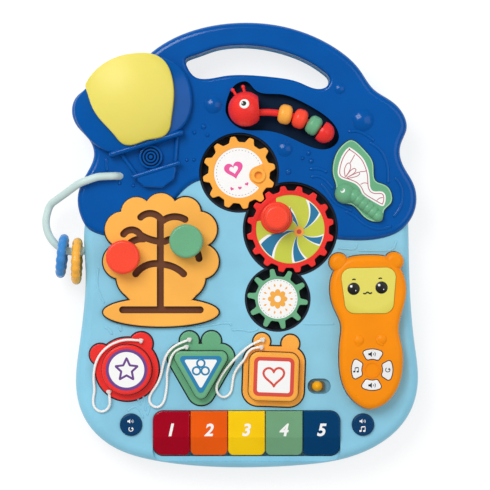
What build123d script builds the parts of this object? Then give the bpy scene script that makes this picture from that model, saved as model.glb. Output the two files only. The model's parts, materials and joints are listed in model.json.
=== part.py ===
from build123d import *
import os
from math import cos, degrees, pi, radians, sin, tan

# Activity panel for a baby, lying on its back. Millimetres, +Z up, +Y towards the carrying handle.
# The origin is on the surface it lies on, under the middle of the whole panel.

# Heights above the surface, and walls
back_height = 4.0
parting_height = 22.0
deck_height = 38.0
cloud_deck_height = 42.0
wall = 2.4
deck_rounding = 9.0
rim_step = 3.5
cloud_rounding = 5.5
back_rounding = 4.0
handle_rounding = 3.0
running_gap = 0.3
back_inset = 0.8
shaft_play = 0.05

# Leg sockets under the back
socket_bore_radius = 13.0
socket_wall = 2.6
socket_depth = 14.0
socket_flange = 4.0
socket_places = [(-100.0, -120.0), (118.0, -120.0), (-98.0, 96.0), (118.0, 96.0)]

# Gear train: three meshing gears in one tray
tooth_module = 4.9
orange_teeth = 12
red_teeth = 16
green_teeth = 10
tooth_rise = 3.5
tooth_fall = 1.6
red_tooth_rise = 0.1
red_tooth_fall = 4.3
green_tooth_fall = 4.0
orange_phase = 10.0
orange_tooth_edge = 2.0
red_tooth_edge = 1.7
green_tooth_edge = 1.8
orange_centre = (8.3, 65.4)
red_direction = -47.8
green_direction = -100.3
orange_well_radius = 36.0
red_well_radius = 42.8
green_well_radius = 29.7
tray_floor_height = 27.0
tray_wall = 1.6
tray_top_height = 37.6
gear_bottom_height = 30.2
gear_top_height = 40.0
disc_recess = 0.6
axle_radius = 3.0
axle_top_height = 36.5
gear_collar_radius = 6.0
orange_disc_radius = 22.8
red_disc_radius = 31.0
green_disc_radius = 18.1
finger_boss_place = (17.3, -2.5)
finger_boss_radius = 6.7
finger_dimple_radius = 3.6
crank_place = (-12.6, 10.3)
crank_skirt_radius = 14.0
crank_radius = 11.2
crank_top_height = 64.0

# Bead worm: head, curved rod, three sliding beads and tail
arc_centre = (31.6, 33.0)
arc_radius = 86.4
rod_radius = 3.1
rod_height = 45.5
pocket_floor_height = 33.0
head_radius = 15.75
head_centre = (14.2, 122.3)
bead_radius = 8.9
bead_length = 12.4
bead_angles = {"bead_yellow": 12.0, "bead_red": 21.3, "bead_green": 30.4}
tail_face_angle = 35.3
tail_angle = 37.6
tail_foot_angle = 40.4
tail_foot_radius = 3.4
tail_radius = 9.6
head_face_angle = -3.6
bead_edge = 5.0
feeler_radius = 1.3
feeler_tip_radius = 1.8
feelers = [((-6.9, 10.1), (-11.6, 17.0)), ((-0.5, 12.9), (-2.3, 19.9))]

# Tree maze
tree_middle = -61.9
tree_height = 5.5
track_thickness = 1.4
slot_width = 6.3
channel_width = 11.0
channel_floor_height = 39.6
channel_top_height = 41.4
maze_knob_radius = 15.1
maze_knob_height = 61.0
maze_knob_clearance = 2.2
stem_radius = 2.9
foot_radius = 5.0
red_branch_centre = (-79.1, -10.4)
red_branch_radius = 16.3
green_branch_centre = (-48.5, -15.0)
green_branch_radius = 21.1
green_branch_angle = 63.0

# Bead loop on the left side
tube_radius = 3.45
tube_height = 27.5
loop_centre = (-139.4, 21.1)
loop_radius = 27.0
ring_section = 4.3
blue_ring_radius = 20.0
orange_ring_radius = 21.3
blue_ring_angle = 248.0
orange_ring_angle = 271.3
blue_ring_hang = (-6.0, 6.1, 2.0)
orange_ring_hang = (-2.0, 8.3, 2.8)

# Shape blocks in animal frames
frame_top_height = 41.2
block_top_height = 50.0
block_edge = 1.8
round_frame_centre = (-92.4, -111.3)
round_frame_radius = 28.35
round_block_radius = 22.3
triangle_corners = [(-54.0, -94.7), (2.2, -94.7), (-25.9, -143.4)]
triangle_rounding = 6.0
triangle_frame_width = 6.2
square_centre = (39.4, -117.6)
square_size = (44.6, 43.5)
square_rounding = 8.5
square_frame_width = 5.2
square_turn = -2.0
frame_edge = 1.0
bear_ears = [((-116.5, -98.1), 9.45), ((-79.8, -88.4), 10.35)]
frog_eyes = [((-36.4, -85.8), 8.6), ((-16.6, -85.8), 8.7)]
cat_ears = [((28.7, -86.4), 7.6), ((54.4, -88.4), 8.0)]

# White tether cords
cord_radius = 1.15
knot_radius = 2.6

# Keyboard
key_count = 5
key_width = 33.2
key_pitch = 33.8
keyboard_left = -69.2
key_back = -148.8
key_front = -189.0
key_flat_front = -172.5
key_bottom_height = 29.6
key_top_height = 41.5
key_lip_height = 35.5
key_edge = 1.2
key_corner = 9.0
key_front_corner = 5.0
key_axle_radius = 1.5
key_axle_place = (-153.0, 32.6)
key_well_floor_height = 26.5
key_ledge_front = -194.5
key_ledge_height = 34.0

# Round buttons and mode switch
button_radius = 9.9
button_top_height = 40.6
button_flange = 2.0
left_button_place = (-88.9, -161.3)
right_button_place = (119.8, -161.2)
switch_centre = (80.3, -126.7)
switch_recess = (21.0, 13.9)
switch_floor_height = 34.4
switch_slider = (13.5, 8.8)
switch_slider_place = 78.6
switch_knob_radius = 3.5

# Toy telephone
phone_bottom_height = 34.3
phone_split_height = 43.0
phone_top_height = 54.0
phone_rounding = 5.5
phone_back_rounding = 3.0
phone_ear_radius = 8.5
phone_cradle_gap = 1.4
phone_cradle_floor_height = 34.0
phone_wall = 2.2
lens_rise = 0.9
pad_centre = (127.2, -111.0)
pad_outer_radius = 18.2
pad_inner_radius = 9.6
pad_spread = 62.0
pad_turn = -2.3
pad_rounding = 2.2
pad_floor_height = 47.0
pad_button_bottom_height = 48.6
pad_button_top_height = 55.2
hub_radius = 7.2

# Hot-air balloon
envelope_crown_height = 58.0
envelope_sphere_radius = 150.0
envelope_middle = (-88.0, 128.0)
lens_crown_height = 67.0
lens_sphere_radius = 95.0
lens_middle = (-88.0, 134.0)
lens_seat_height = 50.0
lens_edge = 2.4
lens_window_radius = 24.0
grille_centre = (-70.9, 79.4)
grille_radius = 9.0
collar_radius = 2.2
collar_ends = [(-108.0, 81.0), (-41.4, 101.6)]
rope_radius = 1.7
ropes = [((-98.2, 83.2), (-81.0, 59.5)), ((-47.0, 99.6), (-49.7, 66.5))]
basket_corners = [(-88.0, 62.2), (-46.4, 75.0), (-50.0, 59.2), (-60.5, 51.6), (-76.5, 52.2)]
basket_rounding = 4.6
basket_rise = 7.0
grille_ring_radii = [2.4, 5.2, 8.0]

# Inside
board_size = (120.0, 70.0, 1.6)
board_centre = (-2.0, -85.0)
board_height = 17.0
speaker_radius = 14.0
speaker_depth = 9.0
cell_radius = 7.25
cell_length = 50.5
cell_count = 3
cell_pitch = 16.0
cell_box_centre = (30.0, 100.0)
cell_height = 14.6
door_size = (64.0, 60.0)
door_corner = 4.0
screw_radius = 1.5
screw_head_radius = 3.0
screw_places = [(-118, -80), (-118, -20), (146, -20), (148, -140), (-60, -178), (66, -184),
                (-120, 130), (140, 110)]

# Outlines, as points that a smooth closed curve passes through
cloud_outline = [
    (-72.0, 172.6), (-54.0, 184.9), (-26.9, 195.4), (11.8, 200.6), (45.1, 197.8), (72.0, 189.8),
    (99.1, 175.1), (117.1, 158.0), (129.8, 140.5), (144.2, 131.0), (155.5, 119.5), (159.2, 105.0),
    (154.6, 93.0), (153.0, 83.0), (157.7, 69.0), (165.4, 55.5), (168.1, 42.8), (165.8, 29.5),
    (155.0, 14.6), (137.0, 6.6), (110.0, 4.5), (84.0, 7.0), (46.0, 18.0), (8.0, 46.0),
    (-27.2, 58.3), (-42.2, 49.1), (-56.0, 32.0), (-82.0, 10.5), (-112.7, 8.8), (-128.0, 15.6),
    (-135.3, 29.0), (-137.2, 41.9), (-134.6, 54.0), (-126.4, 69.5), (-122.4, 82.0), (-126.0, 94.0),
    (-137.4, 107.0), (-142.3, 121.0), (-138.4, 133.6), (-127.0, 143.5), (-119.0, 153.5),
    (-106.0, 162.5), (-89.9, 169.0)]
body_outline = [
    (161.2, 18.0), (161.8, -15.0), (163.4, -54.0), (166.7, -88.0), (169.9, -120.0), (166.3, -142.0),
    (154.0, -163.5), (134.0, -180.0), (104.0, -192.4), (63.2, -198.5), (15.5, -200.6),
    (-31.3, -199.0), (-71.8, -193.6), (-103.0, -183.4), (-125.0, -165.6), (-135.8, -145.5),
    (-139.2, -122.0), (-136.6, -94.0), (-132.3, -60.0), (-130.5, -22.0), (-131.4, 17.0),
    (-124.0, 40.0), (-90.0, 62.0), (-20.0, 76.0), (60.0, 72.0), (120.0, 58.0), (154.0, 40.0)]
cloud_right_end = 18
cloud_left_start = 30
body_left_end = 21
silhouette = cloud_outline[:cloud_right_end] + body_outline[:body_left_end] \
    + cloud_outline[cloud_left_start:]
handle_hole = [
    (-40.0, 165.2), (-37.4, 158.6), (-31.0, 151.4), (-21.0, 149.8), (-5.0, 152.4), (13.7, 153.3),
    (40.7, 151.2), (63.2, 146.4), (78.0, 140.9), (87.2, 143.2), (89.6, 149.6), (84.0, 156.6),
    (63.2, 169.0), (40.7, 176.4), (11.0, 180.2), (-13.3, 177.4), (-32.0, 170.9)]
worm_pocket = [
    (-4.0, 122.5), (-1.5, 134.5), (6.5, 145.5), (15.5, 147.0), (22.5, 140.0), (45.0, 136.0),
    (65.0, 129.0), (84.5, 117.5), (96.5, 104.0), (97.8, 95.5), (89.0, 87.0), (74.0, 88.0),
    (52.0, 97.8), (30.0, 103.2), (14.0, 103.8), (1.5, 110.5)]
envelope_outline = [
    (-108.0, 83.5), (-121.0, 90.5), (-133.0, 103.5), (-139.0, 116.0), (-138.0, 130.0),
    (-127.0, 142.5), (-119.0, 151.0), (-106.0, 160.0), (-88.0, 167.5), (-66.0, 169.5),
    (-49.0, 163.5), (-40.0, 154.5), (-34.6, 140.0), (-34.0, 124.0), (-40.0, 108.5), (-52.0, 98.5),
    (-76.0, 91.0)]
lens_outline = [
    (-128.2, 145.2), (-119.5, 156.5), (-99.0, 168.6), (-80.8, 171.8), (-66.5, 170.2),
    (-58.6, 165.0), (-51.4, 150.0), (-49.8, 132.0), (-52.0, 113.0), (-54.4, 102.6), (-57.4, 98.8),
    (-74.0, 94.0), (-89.6, 89.4), (-94.6, 90.2), (-103.0, 98.4), (-117.0, 114.0),
    (-123.0, 124.0), (-127.3, 136.5)]
dragonfly_outline = [
    (106.4, 94.0), (98.3, 87.0), (92.3, 71.0), (93.2, 60.5), (95.3, 53.0), (94.6, 44.0),
    (103.0, 37.6), (109.5, 36.2), (118.0, 28.0), (128.5, 21.4), (136.5, 22.6), (138.6, 31.2),
    (144.4, 37.5), (145.0, 47.0), (139.5, 54.2), (131.4, 57.6), (128.8, 72.5), (119.5, 87.0)]
phone_outline = [
    (127.6, -146.4), (142.4, -138.8), (151.3, -125.0), (154.9, -108.0), (154.3, -92.0),
    (151.2, -76.0), (155.6, -54.5), (158.0, -40.0), (155.0, -25.0), (144.0, -11.5), (124.5, -8.6),
    (104.0, -12.0), (92.3, -25.4), (89.8, -40.0), (93.4, -56.0), (99.8, -72.3), (99.0, -84.2),
    (98.1, -98.0), (99.4, -117.0), (104.6, -131.5), (114.0, -142.0)]
phone_ears = [(97.6, -15.2), (147.2, -14.2)]
screen_corners = [(98.4, -20.4), (149.2, -19.4), (145.8, -60.8), (103.8, -60.8)]
screen_rounding = 9.0

# Deck bumps: place and radius
bumps = [((-15.2, 126.4), 8.1), ((119.3, 112.6), 10.3), ((49.3, 86.8), 7.2), ((98.7, 140.8), 5.0)]
bump_rise = 0.35

# Winged button: head and ribbed body
wing_rise = 3.6
wing_head_place = (103.1, 46.4)
wing_head_radius = 9.2
wing_body_ends = [(111.4, 44.4), (132.5, 26.6)]
wing_rib_radius = 6.4
wing_rib_step = 0.25
wing_ribs = 6

# Routes of the cords, chosen by hand along their line
round_cord_route = [
    (-80.0, -85.6, 43.4), (-90.0, -84.2, 43.6), (-101.0, -86.2, 43.6), (-111.0, -91.6, 43.6),
    (-118.2, -99.8, 43.6), (-121.8, -110.2, 43.2), (-122.6, -121.0, 41.4), (-121.4, -130.6, 39.9),
    (-123.4, -139.2, 39.7), (-121.8, -146.6, 39.7), (-115.6, -150.2, 39.7), (-109.2, -147.0, 39.9),
    (-107.2, -140.2, 42.6), (-108.6, -131.6, 43.4)]
triangle_cord_route = [
    (-36.4, -84.6, 43.4), (-44.4, -87.4, 43.6), (-51.8, -91.6, 43.6), (-57.4, -98.6, 43.2),
    (-60.2, -107.4, 41.2), (-61.8, -116.6, 39.8), (-65.6, -125.6, 39.7), (-70.6, -132.0, 39.7),
    (-73.0, -138.2, 39.7), (-70.4, -144.4, 39.7), (-64.0, -146.0, 39.7), (-59.2, -141.0, 39.7),
    (-57.4, -132.6, 39.7), (-56.4, -123.6, 39.8), (-56.6, -114.8, 41.0), (-54.4, -106.4, 43.4),
    (-52.2, -98.4, 43.8), (-46.2, -92.6, 43.8), (-39.0, -91.3, 43.5)]
square_cord_route = [
    (29.6, -84.6, 43.4), (20.8, -87.8, 43.7), (11.6, -94.6, 43.6), (3.6, -102.8, 43.6),
    (-3.6, -110.8, 43.6), (-8.8, -119.0, 43.6), (-12.7, -127.0, 43.6), (-10.6, -134.4, 42.5),
    (-4.6, -137.2, 39.8), (1.2, -132.4, 39.7), (2.2, -124.2, 39.7), (3.4, -116.0, 39.9),
    (7.6, -108.8, 41.8), (13.2, -102.4, 43.7), (16.2, -95.6, 43.8), (21.8, -91.6, 43.7),
    (28.2, -91.5, 43.5)]


def smooth_face(points):
    """Flat face inside a smooth closed curve through the points."""
    return make_face(Spline(*points, periodic=True))


def grown_face(points, margin):
    """Smooth face whose edge runs a margin outside the outline, or inside if it is negative."""
    curve = Spline(*points, periodic=True)
    following = points[1:] + points[:1]
    area = sum(a[0] * b[1] - b[0] * a[1] for a, b in zip(points, following))
    side = 1 if area > 0 else -1
    count = 2 * len(points)
    moved = []
    for index in range(count):
        place = curve @ (index / count)
        along = curve % (index / count)
        moved.append((place.X + side * margin * along.Y, place.Y - side * margin * along.X))
    return smooth_face(moved)


def corner_face(points, rounding):
    """Flat face inside straight sides with rounded corners."""
    face = make_face(Polyline(*points, close=True))
    return fillet(face.vertices(), rounding)


def prism(face, bottom, top):
    """Upright solid over a flat face, between two heights."""
    return extrude(Pos(0, 0, bottom) * face, amount=top - bottom, dir=(0, 0, 1))


def disc(centre, radius):
    """Flat round face about a point."""
    return Pos(centre[0], centre[1], 0) * Circle(radius)


def post(centre, radius, bottom, top):
    """Upright round bar."""
    return prism(disc(centre, radius), bottom, top)


def ball(centre, radius, height):
    """Ball about a point at a height."""
    return Pos(centre[0], centre[1], height) * Sphere(radius)


def edges_at(solid, height):
    """Edges that lie flat at one height."""
    found = []
    for edge in solid.edges():
        box = edge.bounding_box()
        if abs(box.min.Z - height) < 0.02 and abs(box.max.Z - height) < 0.02:
            found.append(edge)
    return ShapeList(found)


def polar(centre, radius, angle):
    """Point at a radius and an angle in degrees about a centre."""
    return (centre[0] + radius * cos(radians(angle)), centre[1] + radius * sin(radians(angle)))


def on_rod(angle):
    """Point on the worm's rod, where the angle turns clockwise from +Y."""
    return polar(arc_centre, arc_radius, 90 - angle)


def rounded_union(faces, bottom, top, level, radius):
    """Prisms over several faces, each rounded at one level and then joined."""
    joined = None
    for face in faces:
        solid = prism(face, bottom, top)
        solid = fillet(edges_at(solid, level), radius)
        joined = solid if joined is None else joined + solid
    return joined


def crowned(face, middle, crown, sphere_radius, bottom, edge):
    """Prism whose top is a shallow dome with a rounded rim."""
    dome = ball(middle, sphere_radius, crown - sphere_radius)
    solid = prism(face, bottom, crown + 1) & dome
    rim = [e for e in solid.edges() if e.bounding_box().min.Z > bottom + 0.5]
    upper = [e for e in rim if e.bounding_box().size.X + e.bounding_box().size.Y > 3]
    return fillet(ShapeList(upper), edge)


def gear_face(teeth, phase, tip, root, tip_share, root_share):
    """Toothed outline: each tooth is a trapezium, given as shares of the tooth pitch."""
    step = 360 / teeth
    points = []
    for index in range(teeth):
        middle = phase + index * step
        points.append(polar((0, 0), root, middle - root_share * step / 2))
        points.append(polar((0, 0), tip, middle - tip_share * step / 2))
        points.append(polar((0, 0), tip, middle + tip_share * step / 2))
        points.append(polar((0, 0), root, middle + root_share * step / 2))
    return make_face(Polyline(*points, close=True))


def slot_face(start, middle, end, width):
    """Curved slot with round ends along the arc through three points."""
    return SlotArc(ThreePointArc(start, middle, end), height=width)


def cord_tube(name, route, radius):
    """Round cord along straight runs joined by arcs as large as the runs allow."""
    points = [Vector(*point) for point in route]
    radii = []
    for before, here, after in zip(points, points[1:], points[2:]):
        turn = (here - before).get_angle(after - here)
        shorter = min((here - before).length, (after - here).length)
        radii.append(0.45 * shorter / tan(radians(turn) / 2))
    path = FilletPolyline(*points, radius=radii)
    start = Plane(origin=points[0], z_dir=points[1] - points[0])
    tube = sweep(start * Circle(radius), path=path)
    ideal = pi * radius ** 2 * path.length
    print(name, "length", round(path.length, 1), "tightest", round(min(radii), 1),
          "volume share", round(tube.volume / ideal, 4))
    return tube


def save(name, *solids):
    """Write one named sub-part."""
    shape = solids[0] if len(solids) == 1 else Compound(children=list(solids))
    shape.label = name
    export_step(shape, "parts/" + name + ".step")


# Places worked out from the gear sizes
orange_pitch_radius = tooth_module * orange_teeth / 2
red_pitch_radius = tooth_module * red_teeth / 2
green_pitch_radius = tooth_module * green_teeth / 2
red_centre = polar(orange_centre, orange_pitch_radius + red_pitch_radius, red_direction)
green_centre = polar(red_centre, red_pitch_radius + green_pitch_radius, green_direction)


def meshing_phase(phase, teeth, direction, next_teeth):
    """Phase of the next gear whose gap meets a tooth of this one on the line of centres."""
    step = 360 / teeth
    offset = (phase - direction + step / 2) % step - step / 2
    gap = direction + 180 - offset * teeth / next_teeth
    return gap + 180 / next_teeth


red_phase = meshing_phase(orange_phase, orange_teeth, red_direction, red_teeth)
green_phase = meshing_phase(red_phase, red_teeth, green_direction, green_teeth)
wells = [(orange_centre, orange_well_radius), (red_centre, red_well_radius),
         (green_centre, green_well_radius)]


def gear_wells(inset):
    """Joined outline of the three gear wells, drawn in by an inset."""
    face = disc(wells[0][0], wells[0][1] - inset)
    for centre, radius in wells[1:]:
        face = face + disc(centre, radius - inset)
    return face


def tree_face(margin):
    """Crown of round lobes over an oval ground, mirrored about the trunk, grown by a margin."""
    face = Pos(tree_middle, -60.0) * Ellipse(51.9 + margin, 13.0 + margin)
    core = [(-32, 24), (32, 24), (40, -15), (33.9, -42.5), (27, -49.8), (-27, -49.8),
            (-33.9, -42.5), (-40, -15)]
    face = face + make_face(Polyline(*[(tree_middle + x, y) for x, y in core], close=True))
    lobes = [(0, 32.6, 14.4), (22, 29.6, 13.8), (34.4, 14.4, 16.0), (36.4, -14.4, 15.6),
             (20.2, -28.6, 19.8)]
    for x, y, radius in lobes:
        for side in (-1, 1):
            face = face + disc((tree_middle + side * x, y), radius + margin)
    return face


# Plan faces shared by the shells
cloud_face = smooth_face(cloud_outline)
body_face = smooth_face(body_outline)
hole_face = smooth_face(handle_hole)
cloud_inner = grown_face(cloud_outline, -wall)
body_inner = grown_face(body_outline, -wall)
back_face = grown_face(silhouette, -back_inset)
hole_outer = grown_face(handle_hole, wall)


def phone_faces(margin):
    """Outlines of the telephone's body and its two ears, grown by a margin."""
    body = grown_face(phone_outline, margin) if margin else smooth_face(phone_outline)
    return [body] + [disc(ear, phone_ear_radius + margin) for ear in phone_ears]


def phone_face(margin):
    """Whole outline of the telephone, grown by a margin."""
    body, left_ear, right_ear = phone_faces(margin)
    return body + left_ear + right_ear


def key_well(back, front, side, bottom, top):
    """Block over the whole keyboard, grown by a side allowance, with the end keys' corners."""
    left = keyboard_left - side
    right = keyboard_left + key_pitch * (key_count - 1) + key_width + side
    face = Pos((left + right) / 2, (back + front) / 2) * RectangleRounded(
        right - left, back - front, key_corner + side)
    return prism(face, bottom, top)


def axle_bar(play):
    """Bar on the keys' turning line, from wall to wall of their well, larger all round by a play."""
    left = keyboard_left - running_gap - play
    right = keyboard_left + key_pitch * (key_count - 1) + key_width + running_gap + play
    circle = Plane(origin=(left, *key_axle_place), z_dir=(1, 0, 0)) * Circle(key_axle_radius + play)
    return extrude(circle, amount=right - left)


def screw_posts(bottom, top, radius, places):
    """Round posts at the case screws."""
    return [post(place, radius, bottom, top) for place in places]


def back_shell():
    """Back casing: floor, wall, handle half, screw posts, socket holes and battery bay."""
    shell = prism(back_face, back_height, parting_height)
    shell = fillet(edges_at(shell, back_height), back_rounding)
    shell = shell - prism(hole_face, back_height - 1, parting_height + 1)
    floor_top = back_height + wall
    hollow = prism(grown_face(silhouette, -back_inset - wall), floor_top, parting_height + 1)
    hollow = hollow - prism(hole_outer, floor_top - 1, parting_height + 2)
    shell = shell - hollow
    for solid in screw_posts(floor_top - 0.5, parting_height, 4.0, screw_places):
        shell = shell + solid
    for solid in screw_posts(back_height - 1, parting_height + 1, screw_radius + 0.2, screw_places):
        shell = shell - solid
    for solid in screw_posts(back_height - 1, back_height + 3.0, screw_head_radius + 0.3,
                             screw_places):
        shell = shell - solid
    for place in socket_places:
        shell = shell - post(place, socket_bore_radius + socket_wall + 0.1, 0, floor_top + 1)
    door = Pos(*cell_box_centre, back_height + wall / 2) * Box(
        door_size[0] + 2 * running_gap, door_size[1] + 2 * running_gap, wall + 2)
    return shell - door


def lower_front_shell():
    """Light-blue front casing below the cloud, with its wells, recesses and cradle."""
    body = prism(body_face, parting_height, deck_height)
    body = fillet(edges_at(body, deck_height), deck_rounding)
    hollow = prism(body_inner, parting_height - 1, deck_height - wall - rim_step)
    hollow = hollow + prism(grown_face(body_outline, -wall - rim_step), parting_height - 1,
                            deck_height - wall)
    cradle = prism(phone_face(phone_cradle_gap + wall), phone_cradle_floor_height - wall,
                   deck_height - wall / 2)
    hollow = hollow - cradle
    bed = key_well(key_back + 0.5 + wall, key_ledge_front - wall, wall + running_gap,
                   key_well_floor_height - wall, deck_height)
    hollow = hollow - bed
    switch_bed = prism(switch_face(wall), switch_floor_height - wall, deck_height)
    hollow = hollow - switch_bed
    for place in (left_button_place, right_button_place):
        guide = post(place, button_radius + running_gap + wall, deck_height - 7, deck_height)
        hollow = hollow - guide
    shell = body - hollow
    covered = cloud_face - tree_face(running_gap)
    shell = shell - prism(covered, parting_height - 1, deck_height + 1)
    shell = shell - prism(gear_wells(0), parting_height - 1, deck_height + 1)
    shell = shell - prism(phone_face(phone_cradle_gap), phone_cradle_floor_height, deck_height + 1)
    shell = shell - key_well(key_back + 0.5, key_front - 1.0, running_gap,
                             key_well_floor_height, deck_height + 1)
    shell = shell - key_well(key_back - 20, key_ledge_front, running_gap,
                             key_ledge_height, deck_height + 1)
    shell = shell - axle_bar(shaft_play)
    shell = shell - prism(switch_face(0), switch_floor_height, deck_height + 1)
    for place in (left_button_place, right_button_place):
        shell = shell - post(place, button_radius + running_gap, deck_height - 4, deck_height + 1)
        shell = shell - post(place, button_radius + button_flange, deck_height - 8, deck_height - 4)
    return shell


def switch_face(margin):
    """Round-ended recess of the mode switch, grown by a margin."""
    return Pos(*switch_centre) * SlotOverall(switch_recess[0] + 2 * margin,
                                             switch_recess[1] + 2 * margin)


def upper_front_shell():
    """Dark-blue cloud casing with the handle, balloon envelope, pocket and bumps."""
    cloud = prism(cloud_face, parting_height, cloud_deck_height)
    cloud = fillet(edges_at(cloud, cloud_deck_height), cloud_rounding)
    envelope = crowned(smooth_face(envelope_outline), envelope_middle, envelope_crown_height,
                       envelope_sphere_radius, deck_height, 3.0)
    cloud = cloud - prism(hole_face, parting_height - 1, cloud_deck_height + 1)
    cloud = fillet(edges_at(cloud, cloud_deck_height), handle_rounding)
    cloud = cloud + envelope
    for place, radius in bumps:
        rise = bump_rise * radius
        sphere_radius = (radius ** 2 + rise ** 2) / (2 * rise)
        cap = ball(place, sphere_radius, cloud_deck_height + rise - sphere_radius)
        cloud = cloud + (cap & post(place, radius + 1, cloud_deck_height - 1, cloud_deck_height + 9))
    under_deck = cloud_deck_height - wall
    pocket_face = smooth_face(worm_pocket)
    hollow = prism(cloud_inner, parting_height - 1, under_deck)
    hollow = hollow - prism(hole_outer, parting_height - 2, under_deck + 1)
    pocket_wall = grown_face(worm_pocket, wall)
    hollow = hollow - prism(pocket_wall, pocket_floor_height - wall, under_deck + 1)
    shell = cloud - hollow
    shell = shell - prism(grown_face(lens_outline, running_gap), lens_seat_height,
                          envelope_crown_height + 1)
    shell = shell - post(lens_middle, lens_window_radius, under_deck - 1, envelope_crown_height)
    shell = shell - prism(pocket_face, pocket_floor_height, cloud_deck_height + 1)
    shell = shell - prism(tree_face(running_gap), parting_height - 1, cloud_deck_height + 1)
    shell = shell - prism(gear_wells(0), parting_height - 1, cloud_deck_height + 1)
    return shell - prism(grown_face(dragonfly_outline, running_gap), under_deck - 1, cloud_deck_height + 1)


def gear_tray():
    """Dark tray with three round wells and an axle post in each."""
    tray = prism(gear_wells(0.2), tray_floor_height - tray_wall, tray_top_height)
    tray = tray - prism(gear_wells(0.2 + tray_wall), tray_floor_height, tray_top_height + 1)
    for centre, radius in wells:
        tray = tray + post(centre, gear_collar_radius, tray_floor_height - 0.5,
                           gear_bottom_height - running_gap)
        tray = tray + post(centre, axle_radius, tray_floor_height, axle_top_height)
    return tray


def gear(face, centre, tooth_edge, disc_radius):
    """Gear with rounded teeth, a recess for its printed disc and a blind axle bore."""
    solid = prism(Pos(*centre) * face, gear_bottom_height, gear_top_height)
    upright = [e for e in solid.edges() if e.bounding_box().size.Z > 5]
    solid = fillet(ShapeList(upright), tooth_edge)
    solid = fillet(edges_at(solid, gear_top_height), 0.7)
    solid = solid - post(centre, disc_radius, gear_top_height - disc_recess, gear_top_height + 1)
    return solid - post(centre, axle_radius + shaft_play, gear_bottom_height - 1,
                        axle_top_height + 0.4)


def orange_gear():
    """Twelve-tooth gear with a finger boss beside its middle."""
    face = gear_face(orange_teeth, orange_phase, orange_pitch_radius + tooth_rise,
                     orange_pitch_radius - tooth_fall, 0.26, 0.60)
    solid = gear(face, orange_centre, orange_tooth_edge, orange_disc_radius)
    place = (orange_centre[0] + finger_boss_place[0], orange_centre[1] + finger_boss_place[1])
    boss = post(place, finger_boss_radius, gear_top_height - 2, gear_top_height + 1.6)
    boss = fillet(edges_at(boss, gear_top_height + 1.6), 1.0)
    solid = solid + boss
    return solid - post(place, finger_dimple_radius, gear_top_height - 2, gear_top_height + 2)


def red_gear():
    """Sixteen-tooth middle gear with a bore for the crank knob's pin."""
    face = gear_face(red_teeth, red_phase, red_pitch_radius + red_tooth_rise,
                     red_pitch_radius - red_tooth_fall, 0.30, 0.52)
    solid = gear(face, red_centre, red_tooth_edge, red_disc_radius)
    place = (red_centre[0] + crank_place[0], red_centre[1] + crank_place[1])
    return solid - post(place, axle_radius + shaft_play, gear_bottom_height + 1.5,
                        gear_top_height + 1)


def red_gear_knob():
    """Mushroom knob that turns on the middle gear."""
    place = (red_centre[0] + crank_place[0], red_centre[1] + crank_place[1])
    base = gear_top_height - disc_recess + running_gap
    skirt = post(place, crank_skirt_radius, base, base + 3.0)
    skirt = fillet(edges_at(skirt, base + 3.0), 1.4)
    knob = post(place, crank_radius, base + 1, crank_top_height)
    knob = fillet(edges_at(knob, crank_top_height), 3.2)
    pin = post(place, axle_radius, gear_bottom_height + 2.0, base + 1)
    return skirt + knob + pin


def green_gear():
    """Ten-tooth gear with finger-like teeth."""
    face = gear_face(green_teeth, green_phase, green_pitch_radius + tooth_rise - 0.6,
                     green_pitch_radius - green_tooth_fall, 0.24, 0.46)
    return gear(face, green_centre, green_tooth_edge, green_disc_radius)


def worm_head():
    """Round head with a flat face towards the beads and two feelers."""
    centre = head_centre
    head = ball(centre, head_radius, rod_height)
    face_point = on_rod(head_face_angle)
    cutter = Pos(face_point[0], face_point[1], rod_height) * Rot(0, 0, -head_face_angle) * Pos(
        40, 0, 0) * Box(80, 120, 120)
    head = head - cutter
    head = head - Pos(centre[0], centre[1], pocket_floor_height - 20) * Box(80, 80, 40)
    for base, tip in feelers:
        start = (centre[0] + base[0], centre[1] + base[1])
        end = (centre[0] + tip[0], centre[1] + tip[1])
        run = Vector(end[0] - start[0], end[1] - start[1], 0)
        plane = Plane(origin=(start[0], start[1], rod_height), z_dir=run)
        head = head + extrude(plane * Circle(feeler_radius), amount=run.length)
        head = head + ball(end, feeler_tip_radius, rod_height)
    return head


def worm_rod():
    """Curved bar that the beads slide along, from the head's face to the tail's."""
    path = ThreePointArc((*on_rod(head_face_angle), rod_height), (*on_rod(16.0), rod_height),
                         (*on_rod(tail_face_angle), rod_height))
    start = Plane(origin=path @ 0, z_dir=path % 0)
    return sweep(start * Circle(rod_radius), path=path)


def worm_tail():
    """Round end piece that closes the rod, flat towards the beads, its seam turned up."""
    turned = Rot(0, 0, -tail_face_angle)
    tail = Pos(*on_rod(tail_angle), rod_height) * turned * Rot(0, -90, 0) * Sphere(tail_radius)
    cutter = Pos(*on_rod(tail_face_angle), rod_height) * turned * Pos(-40, 0, 0) * Box(80, 80, 80)
    tail = tail - cutter
    return tail + post(on_rod(tail_foot_angle), tail_foot_radius, pocket_floor_height, rod_height)


def bead(angle):
    """Barrel bead on the rod."""
    place = on_rod(angle)
    across = Plane(origin=(place[0], place[1], rod_height),
                   z_dir=(cos(radians(angle)), -sin(radians(angle)), 0))
    barrel = extrude(across * Circle(bead_radius), amount=bead_length / 2, both=True)
    barrel = fillet(barrel.edges().filter_by(GeomType.CIRCLE), bead_edge)
    bore = extrude(across * Circle(rod_radius + 0.6), amount=bead_length, both=True)
    return barrel - bore


def red_branch_point(angle):
    """Point on the arc that the red maze knob follows."""
    return polar(red_branch_centre, red_branch_radius, angle)


def green_branch_point(angle):
    """Point on the arc that the green maze knob follows."""
    return polar(green_branch_centre, green_branch_radius, angle)


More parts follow.
